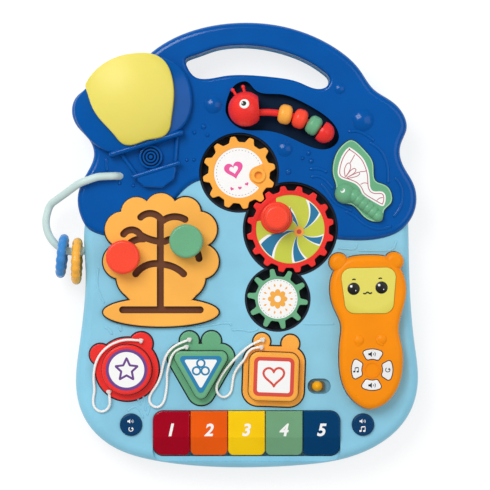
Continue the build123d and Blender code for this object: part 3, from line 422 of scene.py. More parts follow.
class Palette:
    """Every finish of the panel."""

    light_blue = MouldedPlastic("abs_light_blue_satin", "#8CCDE6", Gloss.SATIN)
    navy = MouldedPlastic("abs_navy_gloss", "#0054A4", Gloss.POLISHED, specular=0.3)
    # Painted shade: a very dark navy laid in the worm's pocket and in the grille's slots, darker than the
    # casing, for the shade down in them.
    deep_shade_navy = MouldedPlastic("abs_pocket_lining", "#04213D", Gloss.MATT, specular=0.1)
    # Painted shade: dark lines round pieces let into the decks and round the telephone's buttons, for the
    # shade in the gaps there.
    painted_shade_line = MouldedPlastic("tpe_seal_dark", "#1E222C", Gloss.MATT)
    back = MouldedPlastic("abs_back_matt", "#5FB4D8", Gloss.MATT)
    tray = MouldedPlastic("abs_dark_tray", "#232A38", Gloss.SATIN)
    orange = MouldedPlastic("abs_warm_yellow", "#FFAF46", Gloss.SEMI_GLOSS)
    tree = MouldedPlastic("abs_tree_satin", "#FFB44B", Gloss.SATIN)
    phone = MouldedPlastic("abs_deep_orange", "#FA9000", Gloss.SATIN, specular=0.16)
    red = MouldedPlastic("abs_red", "#F0322D", Gloss.SEMI_GLOSS)
    coral = MouldedPlastic("abs_coral", "#FF4B32", Gloss.SEMI_GLOSS)
    # Painted highlight: a lighter green for a line along the winged button's rim.
    rim_highlight_green = MouldedPlastic("abs_sage_rim", "#A0D2AC", Gloss.POLISHED)
    green = MouldedPlastic("abs_sage_green", "#6CAF85", Gloss.SEMI_GLOSS)
    brown = MouldedPlastic("abs_brown", "#6E4128", Gloss.SATIN)
    mint = MouldedPlastic("pp_mint_tube", "#C8DEDA", Gloss.SATIN)
    ring_blue = MouldedPlastic("abs_bright_blue", "#418CD2", Gloss.POLISHED)
    ring_orange = MouldedPlastic("abs_apricot", "#FFB94B", Gloss.POLISHED)
    key_red = MouldedPlastic("abs_key_crimson", "#A5001F", Gloss.POLISHED)
    key_orange = MouldedPlastic("abs_key_orange", "#EE5C0A", Gloss.POLISHED)
    key_yellow = MouldedPlastic("abs_key_yellow", "#FFCD0A", Gloss.POLISHED)
    key_green = MouldedPlastic("abs_key_sage", "#74A67E", Gloss.POLISHED)
    key_blue = MouldedPlastic("abs_key_blue", "#003E6C", Gloss.POLISHED)
    button_navy = MouldedPlastic("abs_button_navy", "#003C69", Gloss.SEMI_GLOSS)
    pad_white = MouldedPlastic("abs_pad_white", "#F2F2F2", Gloss.SEMI_GLOSS)
    switch_amber = MouldedPlastic("abs_switch_amber", "#FFB40F", Gloss.SEMI_GLOSS)
    # Painted shade: the switch's slide is coloured dark for the shade in its slot.
    switch_slide_shaded = MouldedPlastic("pom_switch_slide", "#5E5A44", Gloss.MATT)
    # Painted shade: a darker light blue for the floor of the switch's slot, for the shade in the recess.
    switch_recess_shade = MouldedPlastic("abs_switch_bed", "#6FA0B2", Gloss.MATT)
    battery_black = MouldedPlastic("abs_battery_black", "#1E1E20", Gloss.MATT)
    cell_green = MouldedPlastic("pvc_cell_sleeve", "#2E7D4F", Gloss.POLISHED)
    board_green = MouldedPlastic("solder_mask_green", "#1F5B3A", Gloss.SEMI_GLOSS)
    # Each window's second, darker colour is painted shade towards its rim.
    balloon = TintedWindow("ps_balloon_window", "#EADC6A", "#D8CC3C", (-88.0, 134.0, 67.0), 58.0)
    screen = TintedWindow("ps_screen_window", "#E6DC66", "#CFC23C", (125.0, -30.0, 54.9), 42.0, 2.0 * MM)
    steel = MilledMetal("zinc_plated_steel", "#B4B8BC", 0.32)
    nickel = MilledMetal("nickel_contact", "#C9C4B8", 0.25)
    braid = BraidedNylon("nylon_braid_white", "#FFFEFA")
    ink_white = PrintedInk("ink_white", "#FAFAF8")
    ink_black = PrintedInk("ink_black", "#151210")
    ink_grey = PrintedInk("ink_grey", "#9AA0A8")
    ink_pink = PrintedInk("ink_pink", "#F0509F")
    ink_lime = PrintedInk("ink_lime", "#C8D23C")
    ink_teal = PrintedInk("ink_teal", "#0078A5")
    ink_amber = PrintedInk("ink_amber", "#FAAF3C")
    ink_purple = PrintedInk("ink_purple", "#6E3C91")
    ink_blue = PrintedInk("ink_blue", "#0A82B4")
    ink_red = PrintedInk("ink_red", "#E14632")
    ink_rose = PrintedInk("ink_rose", "#BE646E")


class Finisher:
    """Keeps one material for each finish and dresses pieces and nodes with it."""

    def __init__(self, frame: dict[str, Any]) -> None:
        """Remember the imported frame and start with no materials."""
        self.frame = frame
        self.made: dict[str, bpy.types.Material] = {}

    def material(self, finish: Finish) -> bpy.types.Material:
        """Return the material of a finish, made on its first use.

        Args:
            finish: The finish.

        Returns:
            Its material.
        """
        if finish.name not in self.made:
            self.made[finish.name] = finish.material()
        return self.made[finish.name]

    def node(self, finish: Finish, *names: str) -> None:
        """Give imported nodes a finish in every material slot.

        Args:
            finish: The finish that they get.
            names: Names of the nodes.
        """
        for name in names:
            mesh = self.frame["nodes"][name].data
            if not mesh.materials:
                mesh.materials.append(None)
            for index in range(len(mesh.materials)):
                mesh.materials[index] = self.material(finish)

    def piece(self, thing: bpy.types.Object, finish: Finish, body: Body | str,
              slot: str) -> bpy.types.Object:
        """Dress a new piece, let it ride on a body and report it.

        Args:
            thing: The new object.
            finish: Its finish.
            body: The body that carries it.
            slot: Material slot of the record that it belongs to; not used.

        Returns:
            The same object.
        """
        thing.data.materials.append(self.material(finish))
        carrier = body.value if isinstance(body, Body) else body
        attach(thing, carrier)
        LOG.info("%s on %s in %s", thing.name, carrier, finish.name)
        return thing


# Surfaces worked out on grids


def link_object(name: str, data: bpy.types.ID) -> bpy.types.Object:
    """New object with its data, linked to the scene.

    Args:
        name: Name of the object.
        data: Its mesh, curve, lamp or camera.

    Returns:
        The object.
    """
    thing = bpy.data.objects.new(name, data)
    bpy.context.scene.collection.objects.link(thing)
    return thing


def finish_mesh(name: str, vertices: Points, faces: Sequence[Sequence[int]],
                sharp: float = 40.0) -> bpy.types.Object:
    """Make a shaded object from points and faces, with merged poles and outward faces.

    Args:
        name: Name of the object and its mesh.
        vertices: Points in millimetres, one per row.
        faces: Point numbers of each face.
        sharp: Angle in degrees above which an edge stays sharp.

    Returns:
        The linked object, at the origin.
    """
    mesh = bpy.data.meshes.new(name)
    mesh.from_pydata((vertices * MM).tolist(), [], faces)
    work = bmesh.new()
    work.from_mesh(mesh)
    bmesh.ops.remove_doubles(work, verts=work.verts, dist=0.002 * MM)
    bmesh.ops.recalc_face_normals(work, faces=work.faces)
    work.to_mesh(mesh)
    work.free()
    mesh.shade_smooth()
    mesh.set_sharp_from_angle(angle=np.radians(sharp))
    return link_object(name, mesh)


def grid_faces(rows: int, columns: int, wrap_rows: bool, wrap_columns: bool) -> Points:
    """Quads of a grid of points, by counting row and column numbers.

    Args:
        rows: Number of rows of points.
        columns: Number of points in a row.
        wrap_rows: Whether the last row meets the first.
        wrap_columns: Whether the last point of a row meets the first.

    Returns:
        Four point numbers a row.
    """
    i = np.arange(rows if wrap_rows else rows - 1)[:, None]
    j = np.arange(columns if wrap_columns else columns - 1)[None, :]
    after_i = (i + 1) % rows
    after_j = (j + 1) % columns
    corners = [i * columns + j, i * columns + after_j, after_i * columns + after_j, after_i * columns + j]
    return np.stack(corners, axis=-1).reshape(-1, 4)


def surface(name: str, points: Points, wrap_rows: bool = False, wrap_columns: bool = True,
            caps: tuple[bool, bool] = (False, False), sharp: float = 40.0) -> bpy.types.Object:
    """Object on a grid of points, closed by a flat face at the first and last row if asked.

    Args:
        name: Name of the object.
        points: Array of rows, columns and three coordinates, in millimetres.
        wrap_rows: Whether the last row meets the first.
        wrap_columns: Whether each row is a closed ring.
        caps: Whether the first row is filled, and whether the last is.
        sharp: Angle in degrees above which an edge stays sharp.

    Returns:
        The linked object.
    """
    rows, columns = points.shape[:2]
    faces = grid_faces(rows, columns, wrap_rows, wrap_columns).tolist()
    if caps[0]:
        faces.append(list(range(columns)))
    if caps[1]:
        faces.append(list(range((rows - 1) * columns, rows * columns)))
    return finish_mesh(name, points.reshape(-1, 3), faces, sharp)


def unit(vectors: Points) -> Points:
    """Vectors, one per row, scaled to length one."""
    return vectors / np.maximum(np.linalg.norm(vectors, axis=1), 1e-9)[:, None]


def travel(path: Points) -> Points:
    """Distance travelled along a path at each of its points."""
    return np.concatenate([[0.0], np.cumsum(np.linalg.norm(np.diff(path, axis=0), axis=1))])


def ring_directions(path: Points) -> Points:
    """Direction of a closed path at each point, from the point before to the point after."""
    return unit(np.roll(path, -1, axis=0) - np.roll(path, 1, axis=0))


def turn_of(count: int) -> Points:
    """Angles of a full turn in equal steps, without the last."""
    return np.linspace(0.0, 2 * np.pi, count, endpoint=False)


def polar(t: Points) -> Points:
    """Unit directions at angles in radians: (cos t, sin t)."""
    return np.stack([np.cos(t), np.sin(t)], axis=-1)


def circle(radius: float, count: int = 96) -> Points:
    """Closed outline of a circle: (r cos t, r sin t)."""
    return radius * polar(turn_of(count))


def star(outer: float, inner: float, tips: int, turn: float = 90.0) -> Points:
    """Closed outline of a star whose corners lie on two circles in turn.

    Args:
        outer: Radius of the tips.
        inner: Radius of the corners between them.
        tips: Number of tips.
        turn: Direction of the first tip in degrees.

    Returns:
        Outline points.
    """
    t = turn_of(2 * tips) + np.radians(turn)
    radius = np.where(np.arange(2 * tips) % 2 == 0, outer, inner)
    return radius[:, None] * polar(t)


def petals(outer: float, inner: float, count: int, steps: int = 240) -> Points:
    """Closed outline whose radius swings between two values: a rosette with round petals.

    Args:
        outer: Radius at the petals' tips.
        inner: Radius between the petals.
        count: Number of petals.
        steps: Number of points.

    Returns:
        Outline points.
    """
    t = turn_of(steps)
    swing = np.abs(np.cos(count * t / 2)) ** 0.7
    return (inner + (outer - inner) * swing)[:, None] * polar(t)


def heart(width: float, steps: int = 120) -> Points:
    """Closed outline of a heart: x = 16 sin^3 t, y = 13 cos t - 5 cos 2t - 2 cos 3t - cos 4t.

    Args:
        width: Width of the heart.
        steps: Number of points.

    Returns:
        Outline points.
    """
    t = turn_of(steps)
    x = 16 * np.sin(t) ** 3
    y = 13 * np.cos(t) - 5 * np.cos(2 * t) - 2 * np.cos(3 * t) - np.cos(4 * t)
    return np.stack([x, y], axis=-1) * width / 32.0


def turning(outline: Points) -> float:
    """1 for an outline that runs anticlockwise and -1 for one that runs clockwise."""
    x, y = outline.T
    return float(np.sign(np.sum(x * np.roll(y, -1) - y * np.roll(x, -1))))


def rounded_polygon(corners: Points, margin: float, rounding: float, steps: int = 10) -> Points:
    """Closed outline of a convex polygon whose sides are moved out and whose corners are round.

    Each corner's arc is centred where the two moved sides, drawn in by the rounding, cross.

    Args:
        corners: Corners in order, one per row.
        margin: Distance that each side moves outwards, or inwards if negative.
        rounding: Radius of the corners.
        steps: Points on each arc.

    Returns:
        Outline points.
    """
    ahead = unit(np.roll(corners, -1, axis=0) - corners)
    outward = np.stack([ahead[:, 1], -ahead[:, 0]], axis=-1) * turning(corners)
    before = np.roll(outward, 1, axis=0)
    middle = before + outward
    shift = middle / np.sum(middle * outward, axis=1)[:, None]
    centres = corners + shift * (margin - rounding)
    start = np.arctan2(before[:, 1], before[:, 0])
    sweep = (np.arctan2(outward[:, 1], outward[:, 0]) - start + np.pi) % (2 * np.pi) - np.pi
    angles = start[:, None] + sweep[:, None] * np.linspace(0, 1, steps)[None, :]
    arcs = centres[:, None, :] + rounding * polar(angles)
    return arcs.reshape(-1, 2)


def at(outline: Points, place: Sequence[float], turn: float = 0.0) -> Points:
    """Outline turned by an angle in degrees about its own origin and moved to a place."""
    c, s = np.cos(np.radians(turn)), np.sin(np.radians(turn))
    return outline @ np.array([[c, s], [-s, c]]) + np.asarray(place, float)[:2]


def inset(outline: Points, distance: float) -> Points:
    """Closed outline moved inwards along the normals of its points.

    Args:
        outline: Closed outline.
        distance: How far its points move, outwards if negative.

    Returns:
        The moved outline, with as many points.
    """
    along = ring_directions(outline)
    inward = np.stack([-along[:, 1], along[:, 0]], axis=-1) * turning(outline)
    return outline + inward * distance


def lifted(outline: Points, height: float) -> Points:
    """Outline with a third coordinate."""
    return np.column_stack([outline, np.full(len(outline), height)])


def plate(name: str, outline: Points, bottom: float, top: float, edge: float = 0.04) -> bpy.types.Object:
    """Thin plate inside a closed outline, with a small bevel round its top.

    Args:
        name: Name of the object.
        outline: Closed outline in millimetres.
        bottom: Height of its underside.
        top: Height of its face.
        edge: Width and height of the bevel.

    Returns:
        The linked object.
    """
    rows = [lifted(outline, bottom), lifted(outline, top - edge), lifted(inset(outline, edge), top)]
    return surface(name, np.stack(rows), caps=(True, True))


def slab(name: str, grid: Points, bottom: float, top: float) -> bpy.types.Object:
    """Closed flat slab over a grid of plan points.

    Args:
        name: Name of the object.
        grid: Array of rows, columns and two coordinates.
        bottom: Height of its underside.
        top: Height of its face.

    Returns:
        The linked object.
    """
    rows, columns = grid.shape[:2]
    count = rows * columns
    plan = grid.reshape(-1, 2)
    tops = grid_faces(rows, columns, False, False)
    number = np.arange(count).reshape(rows, columns)
    border = np.concatenate([number[0, :-1], number[:-1, -1], number[-1, :0:-1], number[:0:-1, 0]])
    after = np.roll(border, -1)
    walls = np.stack([border, after, after + count, border + count], axis=-1)
    faces = np.concatenate([tops, tops[:, ::-1] + count, walls])
    return finish_mesh(name, np.concatenate([lifted(plan, top), lifted(plan, bottom)]), faces.tolist())


def band(name: str, outer: Points, inner: Points, bottom: float, top: float) -> bpy.types.Object:
    """Thin closed band between two outlines with the same number of points."""
    rows = [lifted(outer, bottom), lifted(outer, top), lifted(inner, top), lifted(inner, bottom)]
    return surface(name, np.stack(rows), wrap_rows=True)


def smooth_path(points: Sequence[Sequence[float]], rounds: int = 3) -> Points:
    """Open path with its corners cut a few times at a quarter and three quarters of each run.

    Args:
        points: Points of the path.
        rounds: How often the corners are cut.

    Returns:
        The smoother path.
    """
    path = np.asarray(points, float)
    for _ in range(rounds):
        quarter = path[:-1] * 0.75 + path[1:] * 0.25
        three = path[:-1] * 0.25 + path[1:] * 0.75
        cut = np.stack([quarter, three], axis=1).reshape(-1, path.shape[1])
        path = np.concatenate([path[:1], cut, path[-1:]])
    return path


def closed_curve(points: Sequence[Sequence[float]], steps: int = 8) -> Points:
    """Closed smooth outline through points.

    Each run p1 to p2, with neighbours p0 and p3, is the cubic
    (2 p1 + (p2 - p0) s + (2 p0 - 5 p1 + 4 p2 - p3) s^2 + (3 p1 - p0 - 3 p2 + p3) s^3) / 2.

    Args:
        points: Points that the outline runs through.
        steps: Number of points on each run.

    Returns:
        Outline points.
    """
    p1 = np.asarray(points, float)[:, None, :]
    p0, p2, p3 = np.roll(p1, 1, axis=0), np.roll(p1, -1, axis=0), np.roll(p1, -2, axis=0)
    s = np.linspace(0, 1, steps, endpoint=False)[None, :, None]
    run = 2 * p1 + (p2 - p0) * s + (2 * p0 - 5 * p1 + 4 * p2 - p3) * s ** 2
    return ((run + (3 * p1 - p0 - 3 * p2 + p3) * s ** 3) / 2).reshape(-1, 2)


def resampled(path: Points, step: float) -> Points:
    """Path with points at equal distances near a step.

    Args:
        path: Open path of two or three coordinates.
        step: Distance wanted between points.

    Returns:
        The path with its new points.
    """
    travelled = travel(path)
    count = max(int(travelled[-1] / step), 6)
    marks = np.linspace(0.0, travelled[-1], count)
    return np.stack([np.interp(marks, travelled, path[:, k]) for k in range(path.shape[1])], axis=-1)


def ridge(name: str, points: Sequence[Sequence[float]], width: float, height: float, base: float = 0.0,
          rounds: int = 3, sides: int = 12) -> bpy.types.Object:
    """Raised line: an ellipse carried along a path, half sunk, with round ends.

    The ellipse shrinks to a point over half a width at each end, as sqrt(1 - (1 - d)^2).

    Args:
        name: Name of the object.
        points: Path in millimetres, flat or with heights.
        width: Width of the line.
        height: Height above the surface.
        base: Height of the surface for a flat path.
        rounds: How often the path's corners are cut.
        sides: Points round the ellipse.

    Returns:
        The linked object.
    """
    path = resampled(smooth_path(points, rounds), max(width * 0.3, 0.25))
    if path.shape[1] == 2:
        path = lifted(path, base)
    travelled = travel(path)
    near_end = np.minimum(travelled, travelled[-1] - travelled) / (width / 2)
    taper = np.sqrt(np.clip(1 - (1 - np.clip(near_end, 0, 1)) ** 2, 0, 1))
    ahead = unit(np.gradient(path, axis=0))
    side = unit(np.stack([-ahead[:, 1], ahead[:, 0], np.zeros(len(path))], axis=-1))
    up = np.cross(ahead, side)
    up *= np.sign(up[:, 2:3] + 1e-9)
    t = turn_of(sides)
    section = (side[:, None, :] * (np.cos(t) * width / 2)[None, :, None]
               + up[:, None, :] * (np.sin(t) * height)[None, :, None])
    return surface(name, path[:, None, :] + section * taper[:, None, None], sharp=80.0)


def closed_ridge(name: str, outline: Points, width: float, height: float, base: float,
                 sides: int = 12) -> bpy.types.Object:
    """Raised line of even width along a closed outline, half sunk in the surface.

    Args:
        name: Name of the object.
        outline: Closed outline in millimetres.
        width: Width of the line.
        height: Height above the surface.
        base: Height of the surface.
        sides: Points round the line's section.

    Returns:
        The linked object.
    """
    path = lifted(resampled(np.concatenate([outline, outline[:1]]), 0.3)[:-1], base)
    ahead = ring_directions(path)
    side = np.stack([-ahead[:, 1], ahead[:, 0], np.zeros(len(path))], axis=-1)
    t = turn_of(sides)
    across = side[:, None, :] * (np.cos(t) * width / 2)[None, :, None]
    up = np.array([0.0, 0.0, 1.0]) * (np.sin(t) * height)[:, None]
    return surface(name, path[:, None, :] + across + up[None, :, :], wrap_rows=True, sharp=80.0)


def section_outline(thing: bpy.types.Object, height: float) -> Points:
    """Longest closed outline of an object's level section.

    Args:
        thing: The object.
        height: Height of the section in millimetres.

    Returns:
        Outline points in millimetres.
    """
    work = bmesh.new()
    work.from_mesh(thing.data)
    work.transform(thing.matrix_world)
    bmesh.ops.remove_doubles(work, verts=work.verts[:], dist=1e-5)
    cut = bmesh.ops.bisect_plane(work, geom=work.verts[:] + work.edges[:] + work.faces[:], dist=1e-7,
                                 plane_co=(0, 0, height * MM), plane_no=(0, 0, 1))["geom_cut"]
    edges = [edge for edge in cut if isinstance(edge, bmesh.types.BMEdge)]
    left = dict.fromkeys(sorted(edges, key=lambda edge: (edge.verts[0].co[:], edge.verts[1].co[:])))
    longest = np.zeros((0, 2))
    while left:
        edge = next(iter(left))
        del left[edge]
        loop, tip = [edge.verts[0], edge.verts[1]], edge.verts[1]
        while following := next((e for e in tip.link_edges if e in left), None):
            del left[following]
            tip = following.other_vert(tip)
            loop.append(tip)
        outline = np.array([vert.co[:2] for vert in loop[:-1]]) / MM
        if np.ptp(outline, axis=0).sum() > (np.ptp(longest, axis=0).sum() if len(longest) else 0.0):
            longest = outline
    work.free()
    return longest


def dome(name: str, place: Sequence[float], radius: float, height: float, base: float,
         rings: int = 10, sides: int = 40) -> bpy.types.Object:
    """Round bump with a concave foot: height times cos^2 of the share of the radius.

    Args:
        name: Name of the object.
        place: Middle of the bump in millimetres.
        radius: Radius of its foot.
        height: Height above the surface.
        base: Height of the surface.
        rings: Rings of points from foot to top.
        sides: Points in a ring.

    Returns:
        The linked object.
    """
    share = np.linspace(1.0, 0.0, rings)
    t = turn_of(sides)
    flat = share[:, None, None] * radius * polar(t)[None, :, :]
    rise = base - SUNK + (height + SUNK) * np.cos(share * np.pi / 2) ** 0.8
    points = np.concatenate([flat + np.asarray(place, float)[:2],
                             np.broadcast_to(rise[:, None, None], (rings, sides, 1))], axis=-1)
    foot = points[:1] - np.array([0, 0, SUNK])
    return surface(name, np.concatenate([foot, points]), caps=(True, False), sharp=80.0)


def tube(name: str, path: Points, radius: float, sides: int = 12) -> bpy.types.Object:
    """Closed loop of tube: circles square to the path.

    Args:
        name: Name of the object.
        path: Closed path in millimetres.
        radius: Radius of the tube.
        sides: Points round the tube.

    Returns:
        The linked object.
    """
    ahead = ring_directions(path)
    side = unit(np.cross(ahead, path - path.mean(axis=0)))
    up = np.cross(side, ahead)
    t = turn_of(sides)
    section = (side[:, None, :] * np.cos(t)[None, :, None] + up[:, None, :] * np.sin(t)[None, :, None])
    return surface(name, path[:, None, :] + radius * section, wrap_rows=True, sharp=80.0)


def cap_on_ball(name: str, centre: Sequence[float], ball_radius: float, toward: Sequence[float],
                radius: float, rise: float) -> bpy.types.Object:
    """Lens-shaped cap that follows a ball: a cone of directions about one direction.

    Args:
        name: Name of the object.
        centre: Centre of the ball in millimetres.
        ball_radius: Radius of the ball.
        toward: Direction from the centre to the middle of the cap.
        radius: Radius of the cap.
        rise: How far its middle stands above the ball.

    Returns:
        The linked object.
    """
    axis = np.asarray(toward, float) / np.linalg.norm(toward)
    side = np.cross(axis, [0.0, 1.0, 0.0])
    side /= np.linalg.norm(side)
    up = np.cross(axis, side)
    share = np.concatenate([[1.0], np.linspace(1.0, 0.0, 9)])
    polar = np.arcsin(radius / ball_radius) * share
    lift = np.where(np.arange(len(share)) == 0, -0.4, rise * (1 - share ** 2) + 0.02)
    t = turn_of(36)
    ring = side[None, :] * np.cos(t)[:, None] + up[None, :] * np.sin(t)[:, None]
    away = (np.cos(polar)[:, None, None] * axis[None, None, :]
            + np.sin(polar)[:, None, None] * ring[None, :, :])
    points = np.asarray(centre, float) + (ball_radius + lift)[:, None, None] * away
    return surface(name, points, caps=(True, False), sharp=80.0)


def numeral(name: str, text: str, height: float, place: Sequence[float], bottom: float, top: float,
            slant: float = 0.22) -> bpy.types.Object:
    """Bold slanted number, centred on a place, as a mesh with its place in it.

    Args:
        name: Name of the object.
        text: The number.
        height: Height of the figure in millimetres.
        place: Its middle in millimetres.
        bottom: Height of its underside.
        top: Height of its face.
        slant: Lean of the figure.

    Returns:
        The linked object.
    """
    curve = bpy.data.curves.new(name, "FONT")
    curve.body = text
    curve.shear = slant
    curve.offset = 0.03
    curve.extrude = 0.5
    draft = bpy.data.objects.new(name, curve)
    mesh = bpy.data.meshes.new_from_object(draft)
    bpy.data.objects.remove(draft)
    points = np.zeros(len(mesh.vertices) * 3)
    mesh.vertices.foreach_get("co", points)
    points = points.reshape(-1, 3)
    low, high = points.min(axis=0), points.max(axis=0)
    points = (points - (low + high) / 2) * height / (high[1] - low[1])
    points[:, :2] += np.asarray(place, float)[:2]
    points[:, 2] = np.where(points[:, 2] > 0, top, bottom)
    faces = [list(polygon.vertices) for polygon in mesh.polygons]
    bpy.data.meshes.remove(mesh)
    return finish_mesh(name, points, faces, 30.0)


# Sub-assemblies


@dataclass
class Assembly:
    """Part of the panel that dresses its nodes and adds its own pieces."""

    finisher: Finisher
    palette: Palette

    def outline(self, name: str, height: float) -> Points:
        """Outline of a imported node's level section, in millimetres."""
        return section_outline(self.finisher.frame["nodes"][name], height)


@dataclass
class Casing(Assembly):
    """Front shells, back and gear tray, with the faint relief moulded into the decks and lines of painted
    shade.

    The lines of painted shade are dark lines round what is let into the decks, laid along each node's own
    outline, that stand for the shade in the gaps there.
    """

    line_width: float = 2.1
    line_height: float = 0.5
    bump_height: float = 1.6
    blue_lines: dict[str, list[tuple[float, float]]] = field(default_factory=lambda: {
        "grass_left_1": [(-113.1, -73.5), (-109.3, -75.2), (-106.2, -80.4)],
        "grass_left_2": [(-110.2, -73.8), (-107.4, -76.5), (-105.7, -80.6)],
        "grass_left_3": [(-104.1, -69.3), (-100.2, -72.0), (-98.2, -77.9)],
        "grass_left_4": [(-100.3, -70.0), (-98.5, -72.3), (-97.5, -77.5)],
        "grass_low_1": [(-83.2, -136.9), (-82.2, -140.0), (-80.1, -144.0)],
        "grass_low_2": [(-78.1, -135.1), (-76.8, -140.9), (-75.6, -149.4)],
        "grass_low_3": [(-72.2, -142.2), (-72.8, -147.7), (-74.4, -153.0)],
        "grass_low_4": [(-92.4, -149.3), (-87.2, -145.0), (-81.9, -145.8), (-77.7, -155.8)],
        "ground_left": [(-39.6, -74.1), (-22.4, -72.7), (-0.3, -68.9), (1.4, -72.7)],
        "ground_middle": [(1.3, -76.1), (10.9, -75.7), (17.7, -77.9), (26.0, -75.0)],
        "ground_right": [(65.5, -70.6), (81.1, -70.8), (94.1, -70.6)],
        "bank_left": [(-118.3, -20.3), (-120.0, -34.5), (-117.1, -44.2), (-112.8, -52.2)],
        "ledge_1": [(96.8, -2.3), (109.9, -3.6), (113.5, -2.8), (114.9, 2.7)],
        "ledge_2": [(115.8, -4.7), (138.7, -4.9), (147.3, -4.1), (150.0, 4.5)]})
    navy_lines: dict[str, list[tuple[float, float]]] = field(default_factory=lambda: {
        "ripple_1": [(71.2, 68.3), (77.0, 69.4), (83.1, 68.3), (87.6, 65.3)],
        "ripple_2": [(72.3, 61.5), (79.5, 62.7), (86.7, 58.4), (93.0, 50.2)],
        "ripple_3": [(81.5, 55.9), (87.4, 48.9), (93.0, 39.4), (101.6, 34.5), (110.1, 31.3)],
        "step_1": [(125.3, 92.7), (133.3, 87.9), (138.8, 80.9), (142.3, 69.2), (142.1, 55.5)],
        "step_2": [(148.0, 61.5), (153.2, 55.0), (155.3, 46.6), (154.0, 34.7), (146.8, 25.2)],
        "step_3": [(103.8, 30.9), (111.2, 27.0), (118.1, 20.7), (128.0, 15.3), (138.5, 14.8),
                   (145.7, 17.8)],
        "step_4": [(105.8, 102.3), (114.2, 103.2), (122.3, 99.6), (130.0, 93.8)],
        "crease_left": [(-110.7, 78.6), (-111.3, 72.8), (-110.1, 66.5)]})
    navy_bumps: list[tuple[float, float, float]] = field(default_factory=lambda: [
        (*p, r) for p, r in zip([(65.2, 78.3), (73.0, 75.9), (70.6, 83.0), (52.5, 66.2),
                                 (-31.9, 101.5), (-23.6, 106.8), (-20.2, 99.1), (-38.7, 76.8),
                                 (-32.3, 76.8), (-99.0, 55.9), (-86.8, 53.9)],
                                [1.8, 2.5, 2.4, 2.9, 1.9, 2.6, 2.0, 1.7, 1.7, 1.8, 1.9])])

    pocket: list[tuple[float, float]] = field(default_factory=lambda: [
        (-4.0, 122.5), (-1.5, 134.5), (6.5, 145.5), (15.5, 147.0), (22.5, 140.0), (45.0, 136.0),
        (65.0, 129.0), (84.5, 117.5), (96.5, 104.0), (97.8, 95.5), (89.0, 87.0), (74.0, 88.0),
        (52.0, 97.8), (30.0, 103.2), (14.0, 103.8), (1.5, 110.5)])
    pocket_floor: float = 33.0
    shade_line_width: float = 2.6
    shade_line_tops: dict[str, float] = field(default_factory=lambda: {
        "bear_frame": DECK, "frog_frame": DECK, "cat_frame": DECK,
        "tree_plate": CLOUD_DECK, "dragonfly_button": CLOUD_DECK})

    def paint_pocket_shade(self) -> None:
        """Paint the shade in the worm's pocket: a very dark floor and wall laid in it, darker than the
        casing.
        """
        outline = closed_curve(self.pocket)
        floor = plate("pocket_floor_lining", inset(outline, 0.1), self.pocket_floor - SUNK,
                      self.pocket_floor + LABEL)
        wall = band("pocket_wall_lining", inset(outline, -0.1), inset(outline, 0.12), self.pocket_floor,
                    CLOUD_DECK - 1.2)
        for shade_sheet in (floor, wall):
            self.finisher.piece(shade_sheet, self.palette.deep_shade_navy, Body.PANEL, "navy_blue")

    def build(self) -> None:
        """Dress the shells and add the relief."""
        finish = self.finisher
        self.paint_pocket_shade()
        # Painted shade: a dark line round each piece let into the decks, for the shade in the narrow gaps
        # round it.
        for name, top in self.shade_line_tops.items():
            middle, rise = (DECK + top) / 2, (top - DECK) / 2 + 0.3
            outline = self.outline(name, middle + 0.05)
            painted_shade_line = closed_ridge(name + "_seal", outline, self.shade_line_width, rise, middle)
            finish.piece(painted_shade_line, self.palette.painted_shade_line, Body.PANEL, "dark_tray")
        beside = inset(self.outline("phone_back", DECK), -1.0)
        lip = closed_ridge("phone_cradle_lip", beside, 0.9, 0.25, DECK)
        finish.piece(lip, self.palette.light_blue, Body.PANEL, "light_blue")
        finish.node(self.palette.light_blue, "lower_front_shell")
        finish.node(self.palette.navy, "upper_front_shell", "balloon_basket")
        finish.node(self.palette.back, "back_shell", "leg_sockets", "battery_door")
        finish.node(self.palette.tray, "gear_tray")
        finish.node(self.palette.steel, "case_screws", "battery_door_screws", "key_axle")
        for name, path in self.blue_lines.items():
            line = ridge("relief_" + name, path, self.line_width, self.line_height, DECK)
            finish.piece(line, self.palette.light_blue, Body.PANEL, "light_blue")
        for name, path in self.navy_lines.items():
            line = ridge("relief_" + name, path, self.line_width * 1.5, self.line_height * 1.6, CLOUD_DECK)
            finish.piece(line, self.palette.navy, Body.PANEL, "navy_blue")
        for index, (x, y, radius) in enumerate(self.navy_bumps):
            bump = dome("bump_" + str(index + 1), (x, y), radius, self.bump_height, CLOUD_DECK)
            finish.piece(bump, self.palette.navy, Body.PANEL, "navy_blue")


